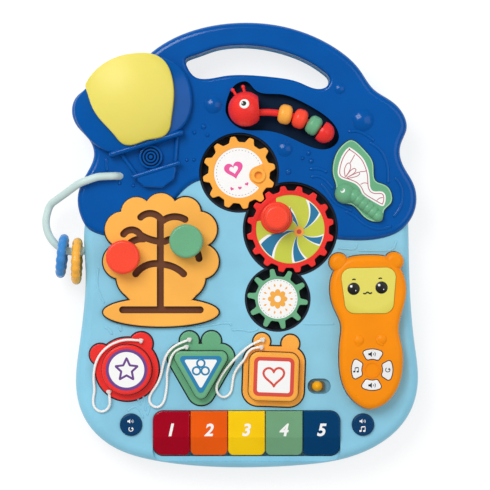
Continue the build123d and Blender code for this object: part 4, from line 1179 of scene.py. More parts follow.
@dataclass
class Balloon(Assembly):
    """Yellow balloon window over the cloud casing, with its collar and ropes."""

    collar: tuple[tuple[float, float], ...] = ((-108.6, 80.8), (-40.8, 101.8))
    rim: tuple[tuple[float, float], ...] = ((-88.4, 60.8), (-43.6, 74.6))
    grille: tuple[float, float] = (-70.9, 79.4)
    grille_rings: tuple[float, ...] = (2.4, 5.2, 8.0)
    collar_section: tuple[float, float] = (5.4, 4.4)
    rim_section: tuple[float, float] = (4.0, 1.8)
    rope_section: tuple[float, float] = (4.4, 3.2)
    collar_base: float = CLOUD_DECK + 6.6
    slot_half: float = 0.62
    ropes: tuple[tuple[tuple[float, float], ...], ...] = (
        ((-98.2, 83.2), (-82.4, 61.4)), ((-47.0, 99.6), (-49.4, 70.6)))

    def build(self) -> None:
        """Dress the window and round the collar and the ropes."""
        self.finisher.node(self.palette.balloon, "balloon_lens")
        lines = {"balloon_collar": (self.collar, *self.collar_section, self.collar_base),
                 "balloon_basket_rim": (self.rim, *self.rim_section, self.collar_base)}
        for index, rope in enumerate(self.ropes):
            lines["balloon_rope_" + str(index + 1)] = (rope, *self.rope_section, CLOUD_DECK)
        for name, (path, width, height, base) in lines.items():
            line = ridge(name, path, width, height, base)
            self.finisher.piece(line, self.palette.navy, Body.PANEL, "navy_blue")
        # Painted shade: a dark band in each of the grille's slots, for the shade down in them.
        for index, radius in enumerate(self.grille_rings):
            slot = band("grille_slot_" + str(index + 1), at(circle(radius + self.slot_half), self.grille),
                        at(circle(radius - self.slot_half), self.grille), CLOUD_DECK + 2.1, CLOUD_DECK + 2.5)
            self.finisher.piece(slot, self.palette.deep_shade_navy, Body.PANEL, "navy_blue")


@dataclass
class BeadWorm(Assembly):
    """Red head, rod and tail with three beads; the head gets its eye and mouth."""

    head: tuple[float, float, float] = (14.2, 122.3, 45.5)
    head_radius: float = 15.75
    eye_toward: tuple[float, float, float] = (-1.2, 4.0, 15.1)
    eye_radius: float = 4.4
    pupil_radius: float = 2.3

    def build(self) -> None:
        """Dress the nodes and add the eye and the mouth."""
        finish = self.finisher
        finish.node(self.palette.red, "worm_head", "worm_tail", "worm_rod")
        finish.node(self.palette.orange, "bead_yellow")
        finish.node(self.palette.coral, "bead_red")
        finish.node(self.palette.green, "bead_green")
        caps = [("eye_white", 0.0, (0.0, 0.0), self.eye_radius, 0.5, self.palette.ink_white, "phone_white"),
                ("eye_pupil", 0.42, (-0.5, 0.1), self.pupil_radius, 0.3, self.palette.ink_black, "dark_tray"),
                ("eye_glint", 0.6, (-1.7, 0.6), 0.75, 0.15, self.palette.ink_white, "phone_white")]
        for name, out, shift, radius, rise, ink, slot in caps:
            toward = np.array(self.eye_toward) + np.array([*shift, 0.0])
            cap = cap_on_ball(name, self.head, self.head_radius + out, toward, radius, rise)
            finish.piece(cap, ink, Body.PANEL, slot)
        t = np.linspace(-0.9, 0.9, 12)
        mouth = np.stack([2.4 + 2.2 * np.sin(t), -9.8 - 1.4 * np.cos(t), np.zeros(12)], axis=-1)
        mouth[:, 2] = np.sqrt(self.head_radius ** 2 - mouth[:, 0] ** 2 - mouth[:, 1] ** 2)
        smile = ridge("mouth_line", mouth + np.array(self.head), 0.6, 0.15)
        finish.piece(smile, self.palette.red, Body.PANEL, "red")


@dataclass
class GearLabel:
    """White label in a gear's recess, cut away round what stands up from the gear."""

    centre: tuple[float, float]
    radius: float
    notch: tuple[float, float] | None = None
    notch_radius: float = 0.0

    def rim(self, hub: Sequence[float], angles: Points) -> Points:
        """Distance from a hub to the label's edge at given angles.

        Along a direction d from the hub, a circle of radius R whose centre lies at -h from the hub is
        met at -d.h + sqrt(R^2 - h^2 + (d.h)^2). The notch's circle is met at the nearer crossing.

        Args:
            hub: Point that the distances start from.
            angles: Directions in radians.

        Returns:
            One distance for each angle.
        """
        towards = polar(angles)
        from_centre = np.asarray(hub, float) - np.asarray(self.centre)
        along = towards @ from_centre
        reach = -along + np.sqrt(self.radius ** 2 - from_centre @ from_centre + along ** 2)
        if self.notch is None:
            return reach
        to_notch = np.asarray(self.notch) - np.asarray(hub, float)
        ahead = towards @ to_notch
        inside = self.notch_radius ** 2 - to_notch @ to_notch + ahead ** 2
        nearer = ahead - np.sqrt(np.maximum(inside, 0.0))
        return np.where((inside > 0) & (ahead > 0), np.minimum(reach, nearer), reach)

    def crescent(self, opening: float = 26.0) -> Points:
        """Closed outline of a label whose notch opens through its rim.

        The rim runs all round but for an opening towards the notch, and the outline comes back round
        the notch's circle.

        Args:
            opening: Half the angle in degrees that the rim leaves open.

        Returns:
            Outline points.
        """
        centre, notch = np.array(self.centre), np.array(self.notch)
        towards = np.arctan2(*(notch - centre)[::-1])
        t = np.linspace(towards + np.radians(opening), towards + np.radians(360 - opening), 160)
        rim = centre + self.radius * polar(t)
        start = np.arctan2(*(rim[-1] - notch)[::-1])
        sweep = (start - np.arctan2(*(rim[0] - notch)[::-1])) % (2 * np.pi)
        t = np.linspace(start, start - sweep, 80)
        back = notch + self.notch_radius * polar(t)
        return np.concatenate([rim, back])

    def outline(self, hub: Sequence[float], margin: float = 0.0, steps: int = 360) -> Points:
        """Closed outline of the label about a hub, drawn in by a margin.

        Args:
            hub: Point that the outline is measured from.
            margin: Distance that it is drawn in.
            steps: Number of points.

        Returns:
            Outline points.
        """
        angles = turn_of(steps)
        reach = self.rim(hub, angles) - margin
        return np.asarray(hub, float) + reach[:, None] * polar(angles)


@dataclass
class GearTrain(Assembly):
    """Three meshing gears with printed labels, and the crank knob."""

    orange: GearLabel = field(default_factory=lambda: GearLabel((8.3, 65.4), 22.6, (25.6, 62.9), 8.3))
    red: GearLabel = field(default_factory=lambda: GearLabel((54.38, 14.58), 30.8, (41.78, 24.88), 14.4))
    green: GearLabel = field(default_factory=lambda: GearLabel((42.99, -48.09), 17.9))
    dash_width: float = 0.45

    def build(self) -> None:
        """Dress the gears and print the three labels."""
        finish = self.finisher
        finish.node(self.palette.orange, "orange_gear")
        finish.node(self.palette.red, "red_gear")
        finish.node(self.palette.coral, "red_gear_knob")
        finish.node(self.palette.green, "green_gear")
        self.heart_label()
        self.swirl_label()
        self.rosette_label()

    def dashes(self, name: str, label: GearLabel, radius: float, count: int, body: Body) -> None:
        """Print a dashed circle: short arcs at equal angles, left out where the label is cut away.

        Args:
            name: Stem of the pieces' name.
            label: The label that it is printed on.
            radius: Radius of the circle.
            count: Number of dashes.
            body: The gear that carries it.
        """
        middles = turn_of(count)
        keep = label.rim(label.centre, middles) > radius + 1.2
        half = np.pi / count * 0.45
        arcs = polar(middles[keep][:, None] + np.linspace(-half, half, 4)[None, :])
        outer = (radius + self.dash_width / 2) * arcs
        inner = (radius - self.dash_width / 2) * arcs
        loops = np.concatenate([outer, inner[:, ::-1]], axis=1) + np.asarray(label.centre)
        number, size = loops.shape[:2]
        low = np.concatenate([loops, np.full((number, size, 1), GEAR_DISC + LABEL - SUNK)], axis=-1)
        high = np.concatenate([loops, np.full((number, size, 1), GEAR_DISC + LABEL + INK)], axis=-1)
        points = np.stack([low, high], axis=1)
        start = (np.arange(number) * 2 * size)[:, None]
        walls = (grid_faces(2, size, False, True)[None, :, :] + start[:, :, None]).reshape(-1, 4)
        tops = start + size + np.arange(size)[None, :]
        bottoms = start + np.arange(size)[None, ::-1]
        faces = walls.tolist() + tops.tolist() + bottoms.tolist()
        ring = finish_mesh(name, points.reshape(-1, 3), faces)
        self.finisher.piece(ring, self.palette.ink_grey, body, "phone_white")

    def base(self, name: str, outline: Points, ink: PrintedInk, body: Body) -> None:
        """Lay a label in a gear's recess."""
        label = plate(name, outline, GEAR_DISC - SUNK, GEAR_DISC + LABEL)
        self.finisher.piece(label, ink, body, "phone_white")

    def stamp(self, name: str, outline: Points, ink: PrintedInk, body: Body, slot: str,
              layer: int = 0) -> None:
        """Print one flat shape on a label, a layer of ink thick.

        Args:
            name: Name of the piece.
            outline: Its closed outline.
            ink: Its ink.
            body: The gear that carries it.
            slot: Material slot of the record.
            layer: Number of ink layers below it.
        """
        base = GEAR_DISC + LABEL + layer * INK
        thing = plate(name, outline, base - SUNK, base + INK)
        self.finisher.piece(thing, ink, body, slot)

    def heart_label(self) -> None:
        """Orange gear: white label, dashed circle, a pink heart and a row of three small ones."""
        label = self.orange
        self.base("orange_gear_label", label.outline(label.centre), self.palette.ink_white, Body.ORANGE_GEAR)
        self.dashes("orange_gear_dashes", label, 20.4, 44, Body.ORANGE_GEAR)
        middle = np.array([3.6, 68.2])
        self.stamp("orange_gear_heart", at(heart(17.0), middle, 14), self.palette.ink_pink,
                   Body.ORANGE_GEAR, "red")
        self.stamp("orange_gear_heart_middle", at(heart(8.0), middle, 14), self.palette.ink_white,
                   Body.ORANGE_GEAR, "phone_white", 1)
        for index, turn in enumerate((-24.0, 0.0, 24.0)):
            place = middle + 17.4 * polar(np.radians(turn - 72))
            self.stamp("orange_gear_drop_" + str(index + 1), at(heart(3.4), place, turn),
                       self.palette.ink_pink, Body.ORANGE_GEAR, "red")

    def swirl_label(self, blades: int = 5, twist: float = 74.0) -> None:
        """Red gear: lime label with curved teal blades edged in white round an amber hub.

        A blade's two sides are spirals: the angle grows by the twist from the hub to the rim.

        Args:
            blades: Number of blades.
            twist: Angle in degrees between a blade's root and its tip.
        """
        label = self.red
        hub = np.array([62.2, 12.4])
        self.base("red_gear_label", label.crescent(), self.palette.ink_lime, Body.RED_GEAR)
        share = np.linspace(0.0, 1.0, 40)[:, None]
        across = np.linspace(-1.0, 1.0, 13)[None, :]
        looks = [("white", 0.50, self.palette.ink_white, 0.5, "phone_white"),
                 ("teal", 0.36, self.palette.ink_teal, 1.1, "key_blue")]
        for layer, (word, width, ink, margin, slot) in enumerate(looks):
            for index in range(blades):
                start = 2 * np.pi * index / blades + 0.5
                spread = across * np.pi / blades * width * np.sqrt(share) * 1.5
                angles = start + np.radians(twist) * share + spread
                free = 3.0 + 2 * self.red.radius * share
                edge = label.rim(hub, angles) - margin
                rows = int(np.argmax((free >= edge).all(axis=1))) + 1
                reach = np.minimum(free, edge)[:rows, :, None]
                grid = hub + reach * polar(angles)[:rows]
                base = GEAR_DISC + LABEL + layer * INK
                blade = slab("red_gear_blade_" + word + "_" + str(index + 1), grid, base - SUNK, base + INK)
                self.finisher.piece(blade, ink, Body.RED_GEAR, slot)
        self.stamp("red_gear_hub", at(circle(4.6), hub), self.palette.ink_amber, Body.RED_GEAR, "orange", 2)
        self.stamp("red_gear_hub_dot", at(circle(2.2), hub), self.palette.ink_red, Body.RED_GEAR, "red", 3)

    def rosette_label(self, dots: int = 14) -> None:
        """Green gear: white label, dashed circle, an amber rosette and a ring of small diamonds.

        Args:
            dots: Number of diamonds.
        """
        label = self.green
        self.base("green_gear_label", label.outline(label.centre), self.palette.ink_white, Body.GREEN_GEAR)
        self.dashes("green_gear_dashes", label, 16.6, 36, Body.GREEN_GEAR)
        self.stamp("green_gear_rosette", at(petals(8.8, 6.2, 8), label.centre), self.palette.ink_amber,
                   Body.GREEN_GEAR, "orange")
        self.stamp("green_gear_rosette_middle", at(circle(2.9), label.centre), self.palette.ink_white,
                   Body.GREEN_GEAR, "phone_white", 1)
        for index, angle in enumerate(turn_of(dots)):
            place = np.array(label.centre) + 12.4 * polar(angle)
            self.stamp("green_gear_diamond_" + str(index + 1),
                       at(star(1.7, 0.9, 2, 0.0), place, np.degrees(angle)), self.palette.ink_amber,
                       Body.GREEN_GEAR, "orange")


@dataclass
class WingedButton(Assembly):
    """Green winged-insect button: white wing panels with rose veins, an eye, and a painted highlight along
    its rim.
    """

    panel: list[tuple[float, float]] = field(default_factory=lambda: [
        (107.1, 88.3), (113.0, 84.7), (119.8, 78.4), (123.2, 71.2), (125.1, 64.6), (125.6, 57.8),
        (125.8, 52.0), (128.5, 48.1), (136.3, 48.8), (139.7, 46.1), (140.0, 40.3), (138.2, 35.0),
        (135.3, 35.4), (127.5, 39.9), (118.8, 45.2), (116.7, 51.1), (113.0, 55.1), (106.1, 57.8),
        (99.3, 59.8), (96.4, 63.6), (96.9, 70.3), (99.3, 78.4), (103.2, 85.1)])
    veins: dict[str, list[tuple[float, float]]] = field(default_factory=lambda: {
        "petal_1": [(103.5, 61.4), (102.4, 67.7), (104.5, 73.0), (107.4, 74.5), (108.7, 70.9),
                    (107.2, 66.4), (103.8, 61.7)],
        "petal_2": [(104.0, 61.6), (108.1, 67.3), (111.5, 69.4), (113.5, 68.0), (111.7, 64.6),
                    (104.7, 60.8)],
        "petal_3": [(104.7, 60.8), (111.7, 64.2), (115.6, 66.0), (116.9, 64.6), (114.2, 61.7),
                    (105.2, 60.1)],
        "rib_1": [(112.1, 81.5), (109.9, 77.5), (107.9, 74.1)],
        "rib_2": [(123.0, 67.1), (120.0, 66.2), (116.4, 66.2)],
        "rib_3": [(124.3, 55.5), (120.3, 56.4), (117.1, 54.7)],
        "rib_4": [(137.4, 42.9), (134.3, 42.7), (131.6, 40.2)]})
    vein_width: float = 0.75
    eye: tuple[float, float] = (100.9, 49.1)
    head: tuple[float, float, float] = (103.1, 46.4, 44.0)
    head_radius: float = 9.2

    def build(self) -> None:
        """Dress the button and add its panel, veins, eye and painted rim highlight."""
        finish = self.finisher
        finish.node(self.palette.green, "dragonfly_button")
        outline = resampled(smooth_path(self.panel + self.panel[:1], 3), 0.8)[:-1]
        wing = plate("wing_panel", outline, WING_TOP - SUNK, WING_TOP + 0.25, 0.12)
        finish.piece(wing, self.palette.ink_white, Body.WINGED_BUTTON, "phone_white")
        # Painted highlight: a lighter green line just inside the button's rim.
        beside = inset(self.outline("dragonfly_button", WING_TOP - 1.2), 0.8)
        light = closed_ridge("wing_rim", beside, 1.1, 0.3, WING_TOP - 0.25)
        finish.piece(light, self.palette.rim_highlight_green, Body.WINGED_BUTTON, "green")
        rim = inset(outline, 1.5)
        line = band("wing_outline", rim, inset(rim, self.vein_width), WING_TOP + 0.2, WING_TOP + 0.36)
        finish.piece(line, self.palette.ink_rose, Body.WINGED_BUTTON, "red")
        for name, path in self.veins.items():
            vein = ridge("wing_" + name, path, self.vein_width, 0.14, WING_TOP + 0.25)
            finish.piece(vein, self.palette.ink_rose, Body.WINGED_BUTTON, "red")
        toward = np.array([self.eye[0] - self.head[0], self.eye[1] - self.head[1], 8.4])
        white = cap_on_ball("wing_eye_white", self.head, self.head_radius, toward, 2.1, 0.25)
        finish.piece(white, self.palette.ink_white, Body.WINGED_BUTTON, "phone_white")
        toward = toward + np.array([-0.5, 0.6, 0.0])
        iris = cap_on_ball("wing_eye_iris", self.head, self.head_radius + 0.2, toward, 1.5, 0.2)
        finish.piece(iris, self.palette.green, Body.WINGED_BUTTON, "green")


@dataclass
class TreeMaze(Assembly):
    """Tree plate over its brown track, with two sliding knobs."""

    def build(self) -> None:
        """Dress the maze."""
        self.finisher.node(self.palette.tree, "tree_plate")
        self.finisher.node(self.palette.brown, "tree_track")
        self.finisher.node(self.palette.coral, "tree_knob_red")
        self.finisher.node(self.palette.green, "tree_knob_green")


@dataclass
class BeadLoop(Assembly):
    """Mint tube with a blue and an orange ring; both rings are ribbed all round."""

    section: float = 4.3
    rib_depth: float = 0.13

    def ribbed_ring(self, node: str, outer: float, turn: float, ribs: int, body: Body, finish: Finish,
                    slot: str) -> None:
        """Ring whose section swells and shrinks round it, in place of the plain one.

        The section's radius is r (1 - depth sin^2(n u / 2)) at the angle u round the ring.

        Args:
            node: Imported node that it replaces, which gives its middle.
            outer: Outer radius of the ring in millimetres.
            turn: Turn of the ring about the vertical in degrees.
            ribs: Number of swellings.
            body: Body that it rides on.
            finish: Its finish.
            slot: Material slot of the record.
        """
        low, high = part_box(node)
        middle = np.array((low + high) / 2) / MM
        u = turn_of(ribs * 12)[:, None]
        v = turn_of(24)[None, :]
        radius = self.section * (1 - self.rib_depth * np.sin(ribs * u / 2) ** 2)
        away = outer - self.section + radius * np.cos(v)
        across = radius * np.sin(v)
        c, s = np.cos(np.radians(turn)), np.sin(np.radians(turn))
        lie = away * np.cos(u)
        points = np.stack([across * c - lie * s, across * s + lie * c, away * np.sin(u)], axis=-1) + middle
        ring = surface(node + "_ribbed", points, wrap_rows=True, sharp=80.0)
        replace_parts(self.finisher.piece(ring, finish, body, slot), node)

    def build(self) -> None:
        """Dress the tube and make the rings."""
        self.finisher.node(self.palette.mint, "loop_tube")
        self.ribbed_ring("loop_ring_blue", 20.0, -6.0, 14, Body.BLUE_RING, self.palette.ring_blue,
                         "ring_blue")
        self.ribbed_ring("loop_ring_orange", 21.3, -2.0, 16, Body.ORANGE_RING, self.palette.ring_orange,
                         "orange")


@dataclass
class Tether:
    """White cord from an animal frame's ear, knotted at both ends."""

    name: str
    route: list[tuple[float, float, float]]
    length: float


@dataclass
class ShapeBlocks(Assembly):
    """Three animal frames with their blocks, printed tops and tether cords.

    A fit holds the margin and the rounding of a block's coloured border, and then of its white field.
    """

    round_middle: tuple[float, float] = (-92.4, -111.3)
    triangle: list[tuple[float, float]] = field(default_factory=lambda: [
        (-54.0, -94.7), (-25.9, -143.4), (2.2, -94.7)])
    square_middle: tuple[float, float] = (39.4, -117.6)
    square_size: tuple[float, float] = (44.6, 43.5)
    square_turn: float = -2.0
    disc_radii: tuple[float, float] = (18.6, 15.9)
    triangle_fit: tuple[tuple[float, float], ...] = ((-4.2, 3.0), (-7.4, 1.4))
    square_fit: tuple[tuple[float, float], ...] = ((-4.2, 5.0), (-7.6, 2.2))
    star_radii: tuple[float, float] = (10.4, 5.0)
    ring_radius: float = 3.4
    ring_spread: float = 4.5
    heart_width: float = 18.4
    cord_radius: float = 1.15
    knot_size: float = 1.25
    tethers: list[Tether] = field(default_factory=lambda: [
        Tether("cord_round", [
            (-80.0, -85.6, 43.4), (-90.0, -84.2, 43.6), (-101.0, -86.2, 43.6), (-111.0, -91.6, 43.6),
            (-118.2, -99.8, 43.6), (-121.8, -110.2, 43.2), (-122.6, -121.0, 41.4),
            (-121.4, -130.6, 39.9), (-123.4, -139.2, 39.7), (-121.8, -146.6, 39.7),
            (-115.6, -150.2, 39.7), (-109.2, -147.0, 39.9), (-107.2, -140.2, 42.6),
            (-108.6, -131.6, 43.4)], 120.2),
        Tether("cord_triangle", [
            (-36.4, -84.6, 43.4), (-44.4, -87.4, 43.6), (-51.8, -91.6, 43.6), (-57.4, -98.6, 43.2),
            (-60.2, -107.4, 41.2), (-61.8, -116.6, 39.8), (-65.6, -125.6, 39.7), (-70.6, -132.0, 39.7),
            (-73.0, -138.2, 39.7), (-70.4, -144.4, 39.7), (-64.0, -146.0, 39.7), (-59.2, -141.0, 39.7),
            (-57.4, -132.6, 39.7), (-56.4, -123.6, 39.8), (-56.6, -114.8, 41.0), (-54.4, -106.4, 43.4),
            (-52.2, -98.4, 43.8), (-46.2, -92.6, 43.8), (-39.0, -91.3, 43.5)], 146.8),
        Tether("cord_square", [
            (29.6, -84.6, 43.4), (20.8, -87.8, 43.7), (11.6, -94.6, 43.6), (3.6, -102.8, 43.6),
            (-3.6, -110.8, 43.6), (-8.8, -119.0, 43.6), (-12.7, -127.0, 43.6), (-10.6, -134.4, 42.5),
            (-4.6, -137.2, 39.8), (1.2, -132.4, 39.7), (2.2, -124.2, 39.7), (3.4, -116.0, 39.9),
            (7.6, -108.8, 41.8), (13.2, -102.4, 43.7), (16.2, -95.6, 43.8), (21.8, -91.6, 43.7),
            (28.2, -91.5, 43.5)], 136.2)])

    def knots(self, tether: Tether) -> list[bpy.types.Object]:
        """Make the knots at a cord's two ends: a three-lobed closed loop of the cord.

        The loop is (sin t + 2 sin 2t, cos t - 2 cos 2t, -sin 3t), flattened to the cord's thickness.

        Args:
            tether: The cord.

        Returns:
            The two knots.
        """
        t = turn_of(72)
        loop = np.stack([np.sin(t) + 2 * np.sin(2 * t), np.cos(t) - 2 * np.cos(2 * t),
                         -1.05 * np.sin(3 * t)], axis=-1)
        found = []
        for end, place in (("start", tether.route[0]), ("end", tether.route[-1])):
            path = loop * self.knot_size * 0.42 + np.array([place[0], place[1], place[2] + 0.1])
            knot = tube(tether.name + "_knot_" + end, path, self.cord_radius * 0.82)
            found.append(self.finisher.piece(knot, self.palette.braid, Body.PANEL, "white_cord"))
        return found

    def cord(self, tether: Tether) -> list[bpy.types.Object]:
        """Make a cord as a smooth curve through its route's control points, with its knots.

        Args:
            tether: The cord's name, route and length.

        Returns:
            The cord's two knots.
        """
        curve = bpy.data.curves.new(tether.name + "_braided", "CURVE")
        curve.dimensions = "3D"
        curve.bevel_depth = self.cord_radius * MM
        curve.bevel_resolution = 4
        curve.resolution_u = 8
        curve.use_fill_caps = True
        spline = curve.splines.new("NURBS")
        spline.points.add(len(tether.route) - 1)
        places = np.ones((len(tether.route), 4))
        places[:, :3] = np.array(tether.route) * MM
        spline.points.foreach_set("co", places.ravel())
        spline.order_u = 3
        spline.use_endpoint_u = True
        line = link_object(tether.name + "_braided", curve)
        self.finisher.piece(line, self.palette.braid, Body.PANEL, "white_cord")
        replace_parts(line, tether.name)
        knots = self.knots(tether)
        return knots

    def symbol(self, name: str, outline: Points, width: float, ink: PrintedInk, body: Body) -> None:
        """Print a shape as an outline of even width on a block's white field."""
        thing = closed_ridge(name, outline, width, INK, BLOCK_TOP + LABEL)
        self.finisher.piece(thing, ink, body, "phone_white")

    def labels(self) -> None:
        """Print a coloured border, a white field and a plain shape on each block."""
        low, high = BLOCK_TOP - SUNK, BLOCK_TOP + LABEL
        middle, place = self.round_middle, self.square_middle
        corners = np.array(self.triangle)
        square = np.array([(-1, -1), (1, -1), (1, 1), (-1, 1)]) * np.array(self.square_size) / 2
        discs = [at(circle(radius), middle) for radius in self.disc_radii]
        triangles = [rounded_polygon(corners, *fit) for fit in self.triangle_fit]
        squares = [at(rounded_polygon(square, *fit), place, self.square_turn) for fit in self.square_fit]
        looks = [(Body.ROUND_BLOCK, self.palette.ink_purple, *discs),
                 (Body.TRIANGLE_BLOCK, self.palette.ink_blue, *triangles),
                 (Body.SQUARE_BLOCK, self.palette.ink_red, *squares)]
        for body, ink, border, white in looks:
            rim = plate(body.value + "_border", border, low, high - 0.04)
            self.finisher.piece(rim, ink, body, "phone_white")
            disc = plate(body.value + "_field", white, low, high)
            self.finisher.piece(disc, self.palette.ink_white, body, "phone_white")
        self.symbol("round_block_star", at(star(*self.star_radii, 5), middle), 2.0,
                    self.palette.ink_purple, Body.ROUND_BLOCK)
        centre = corners.mean(axis=0) + np.array([0.0, 1.0])
        for index, angle in enumerate(np.radians([90.0, 210.0, 330.0])):
            small = at(circle(self.ring_radius, 48), centre + self.ring_spread * polar(angle))
            self.symbol("triangle_block_circle_" + str(index + 1), small, 1.7, self.palette.ink_blue,
                        Body.TRIANGLE_BLOCK)
        self.symbol("square_block_heart", at(heart(self.heart_width), (place[0], place[1] + 1.0)), 2.0,
                    self.palette.ink_red, Body.SQUARE_BLOCK)

    def build(self) -> None:
        """Dress the frames and blocks, print their tops, add painted shade round the blocks and lay the
        cords.
        """
        finish = self.finisher
        finish.node(self.palette.red, "bear_frame", "round_block")
        finish.node(self.palette.green, "frog_frame", "triangle_block")
        finish.node(self.palette.orange, "cat_frame", "square_block")
        self.labels()
        # Painted shade: a dark line round each block, for the shade between block and frame.
        for name in ("round_block", "triangle_block", "square_block"):
            gap_shade_line = closed_ridge(name + "_gap", self.outline(name, FRAME_TOP + 0.4), GAP_WIDTH, GAP_RISE,
                               FRAME_TOP)
            finish.piece(gap_shade_line, self.palette.painted_shade_line, Body.PANEL, "dark_tray")
        knots = [knot for tether in self.tethers for knot in self.cord(tether)]
        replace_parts(knots[0], "cord_knots")


@dataclass
class Keyboard(Assembly):
    """Five piano keys with plain numbers."""

    left: float = -69.2
    pitch: float = 33.8
    width: float = 33.2
    number_middle: float = -165.7
    number_height: float = 11.4

    def build(self) -> None:
        """Dress the keys and number them from left to right."""
        looks = [(self.palette.key_red, "key_red"), (self.palette.key_orange, "key_orange"),
                 (self.palette.key_yellow, "key_yellow"), (self.palette.key_green, "key_green"),
                 (self.palette.key_blue, "key_blue")]
        for index, (finish, _) in enumerate(looks):
            key = "key_" + str(index + 1)
            self.finisher.node(finish, key)
            place = (self.left + index * self.pitch + self.width / 2, self.number_middle)
            figure = numeral(key + "_number", str(index + 1), self.number_height, place,
                             KEY_TOP - SUNK, KEY_TOP + 0.14)
            self.finisher.piece(figure, self.palette.ink_white, key, "phone_white")


@dataclass
class Pictogram:
    """Small plain signs for buttons: a note, a loudspeaker and a turn arrow."""

    finisher: Finisher
    ink: PrintedInk
    body: str
    base: float

    def add(self, thing: bpy.types.Object) -> None:
        """Give one part of a sign its ink and let it ride on its button."""
        self.finisher.piece(thing, self.ink, self.body, "phone_white")

    def note(self, stem: str, place: Sequence[float], size: float) -> None:
        """Two joined quavers: two oval heads, two stems and a beam.

        Args:
            stem: Stem of the parts' names.
            place: Middle of the sign in millimetres.
            size: Its height.
        """
        x, y = place
        for index, offset in enumerate((-0.32, 0.36)):
            head = circle(0.2 * size, 24) * np.array([1.15, 0.85])
            head = at(head, (x + (offset - 0.16) * size, y - 0.36 * size))
            self.add(plate(stem + "_head_" + str(index + 1), head, self.base - SUNK, self.base + INK))
            line = [(x + offset * size, y - 0.36 * size), (x + offset * size, y + 0.42 * size)]
            self.add(ridge(stem + "_stem_" + str(index + 1), line, 0.13 * size, INK, self.base, 0))
        beam = [(x - 0.34 * size, y + 0.36 * size), (x + 0.38 * size, y + 0.44 * size)]
        self.add(ridge(stem + "_beam", beam, 0.22 * size, INK, self.base, 0))

    def loudspeaker(self, stem: str, place: Sequence[float], size: float) -> None:
        """Cone on a box, and two bars for the sound.

        Args:
            stem: Stem of the parts' names.
            place: Middle of the sign in millimetres.
            size: Its height.
        """
        outline = np.array([(-0.62, -0.16), (-0.38, -0.16), (-0.06, -0.42), (-0.06, 0.42), (-0.38, 0.16),
                            (-0.62, 0.16)]) * size
        self.add(plate(stem + "_cone", at(outline, place), self.base - SUNK, self.base + INK))
        t = np.radians(np.linspace(-42, 42, 7))
        for index, reach in enumerate((0.26, 0.52)):
            arc = at(polar(t) * reach * size,
                     (place[0] - 0.02 * size, place[1]))
            self.add(ridge(stem + "_wave_" + str(index + 1), arc, 0.11 * size, INK, self.base, 0))

    def turn_arrow(self, stem: str, place: Sequence[float], size: float) -> None:
        """Three quarters of a circle that ends in an arrow head.

        Args:
            stem: Stem of the parts' names.
            place: Middle of the sign in millimetres.
            size: Its height.
        """
        t = np.radians(np.linspace(120, 390, 20))
        arc = at(polar(t) * 0.38 * size, place)
        self.add(ridge(stem + "_arc", arc, 0.14 * size, INK, self.base, 0))
        head = np.array([(-0.24, 0.0), (0.24, 0.0), (0.0, 0.34)]) * size
        self.add(plate(stem + "_head", at(head, arc[-1], 120), self.base - SUNK, self.base + INK))


@dataclass
class ControlButtons(Assembly):
    """Two round push buttons and the mode switch."""

    left: tuple[float, float] = (-88.9, -161.3)
    right: tuple[float, float] = (119.8, -161.2)
    slot: tuple[float, float] = (80.3, -126.7)
    slot_floor: float = 34.4
    cap_radius: float = 4.7
    cap_height: float = 5.0
    cap_offset: float = -1.7
    speaker_size: float = 4.6
    sign_size: float = 5.0
    sign_offset: float = 3.8

    def build(self) -> None:
        """Dress the buttons and the switch, add painted shade in the switch's slot and print the buttons'
        signs.
        """
        self.finisher.node(self.palette.button_navy, "left_button", "right_button")
        # Painted shade: the slide is coloured dark for the shade in its slot.
        self.finisher.node(self.palette.switch_slide_shaded, "mode_switch_knob")
        # Painted shade: a darker light blue on the slot's floor for the shade in the recess.
        half_slot = np.array([(-10.5, -6.95), (10.5, -6.95), (10.5, 6.95), (-10.5, 6.95)])
        recess_shade = plate("mode_switch_bed", at(rounded_polygon(half_slot, 0.3, 6.6), self.slot),
                    self.slot_floor - SUNK, self.slot_floor + LABEL)
        self.finisher.piece(recess_shade, self.palette.switch_recess_shade, Body.PANEL, "light_blue")
        cap = dome("mode_switch_cap", (self.slot[0] + self.cap_offset, self.slot[1]), self.cap_radius,
                   self.cap_height, DECK - 0.6)
        self.finisher.piece(cap, self.palette.switch_amber, Body.MODE_SWITCH, "orange")
        sides = [("left", self.left, Body.LEFT_BUTTON), ("right", self.right, Body.RIGHT_BUTTON)]
        for side, place, body in sides:
            signs = Pictogram(self.finisher, self.palette.ink_white, body.value, BUTTON_TOP)
            signs.loudspeaker(side + "_sign_speaker", (place[0] - 0.4, place[1] + 3.2), self.speaker_size)
            below = (place[0], place[1] - self.sign_offset)
            if side == "left":
                signs.turn_arrow(side + "_sign_turn", below, self.sign_size)
            else:
                signs.note(side + "_sign_note", below, self.sign_size)


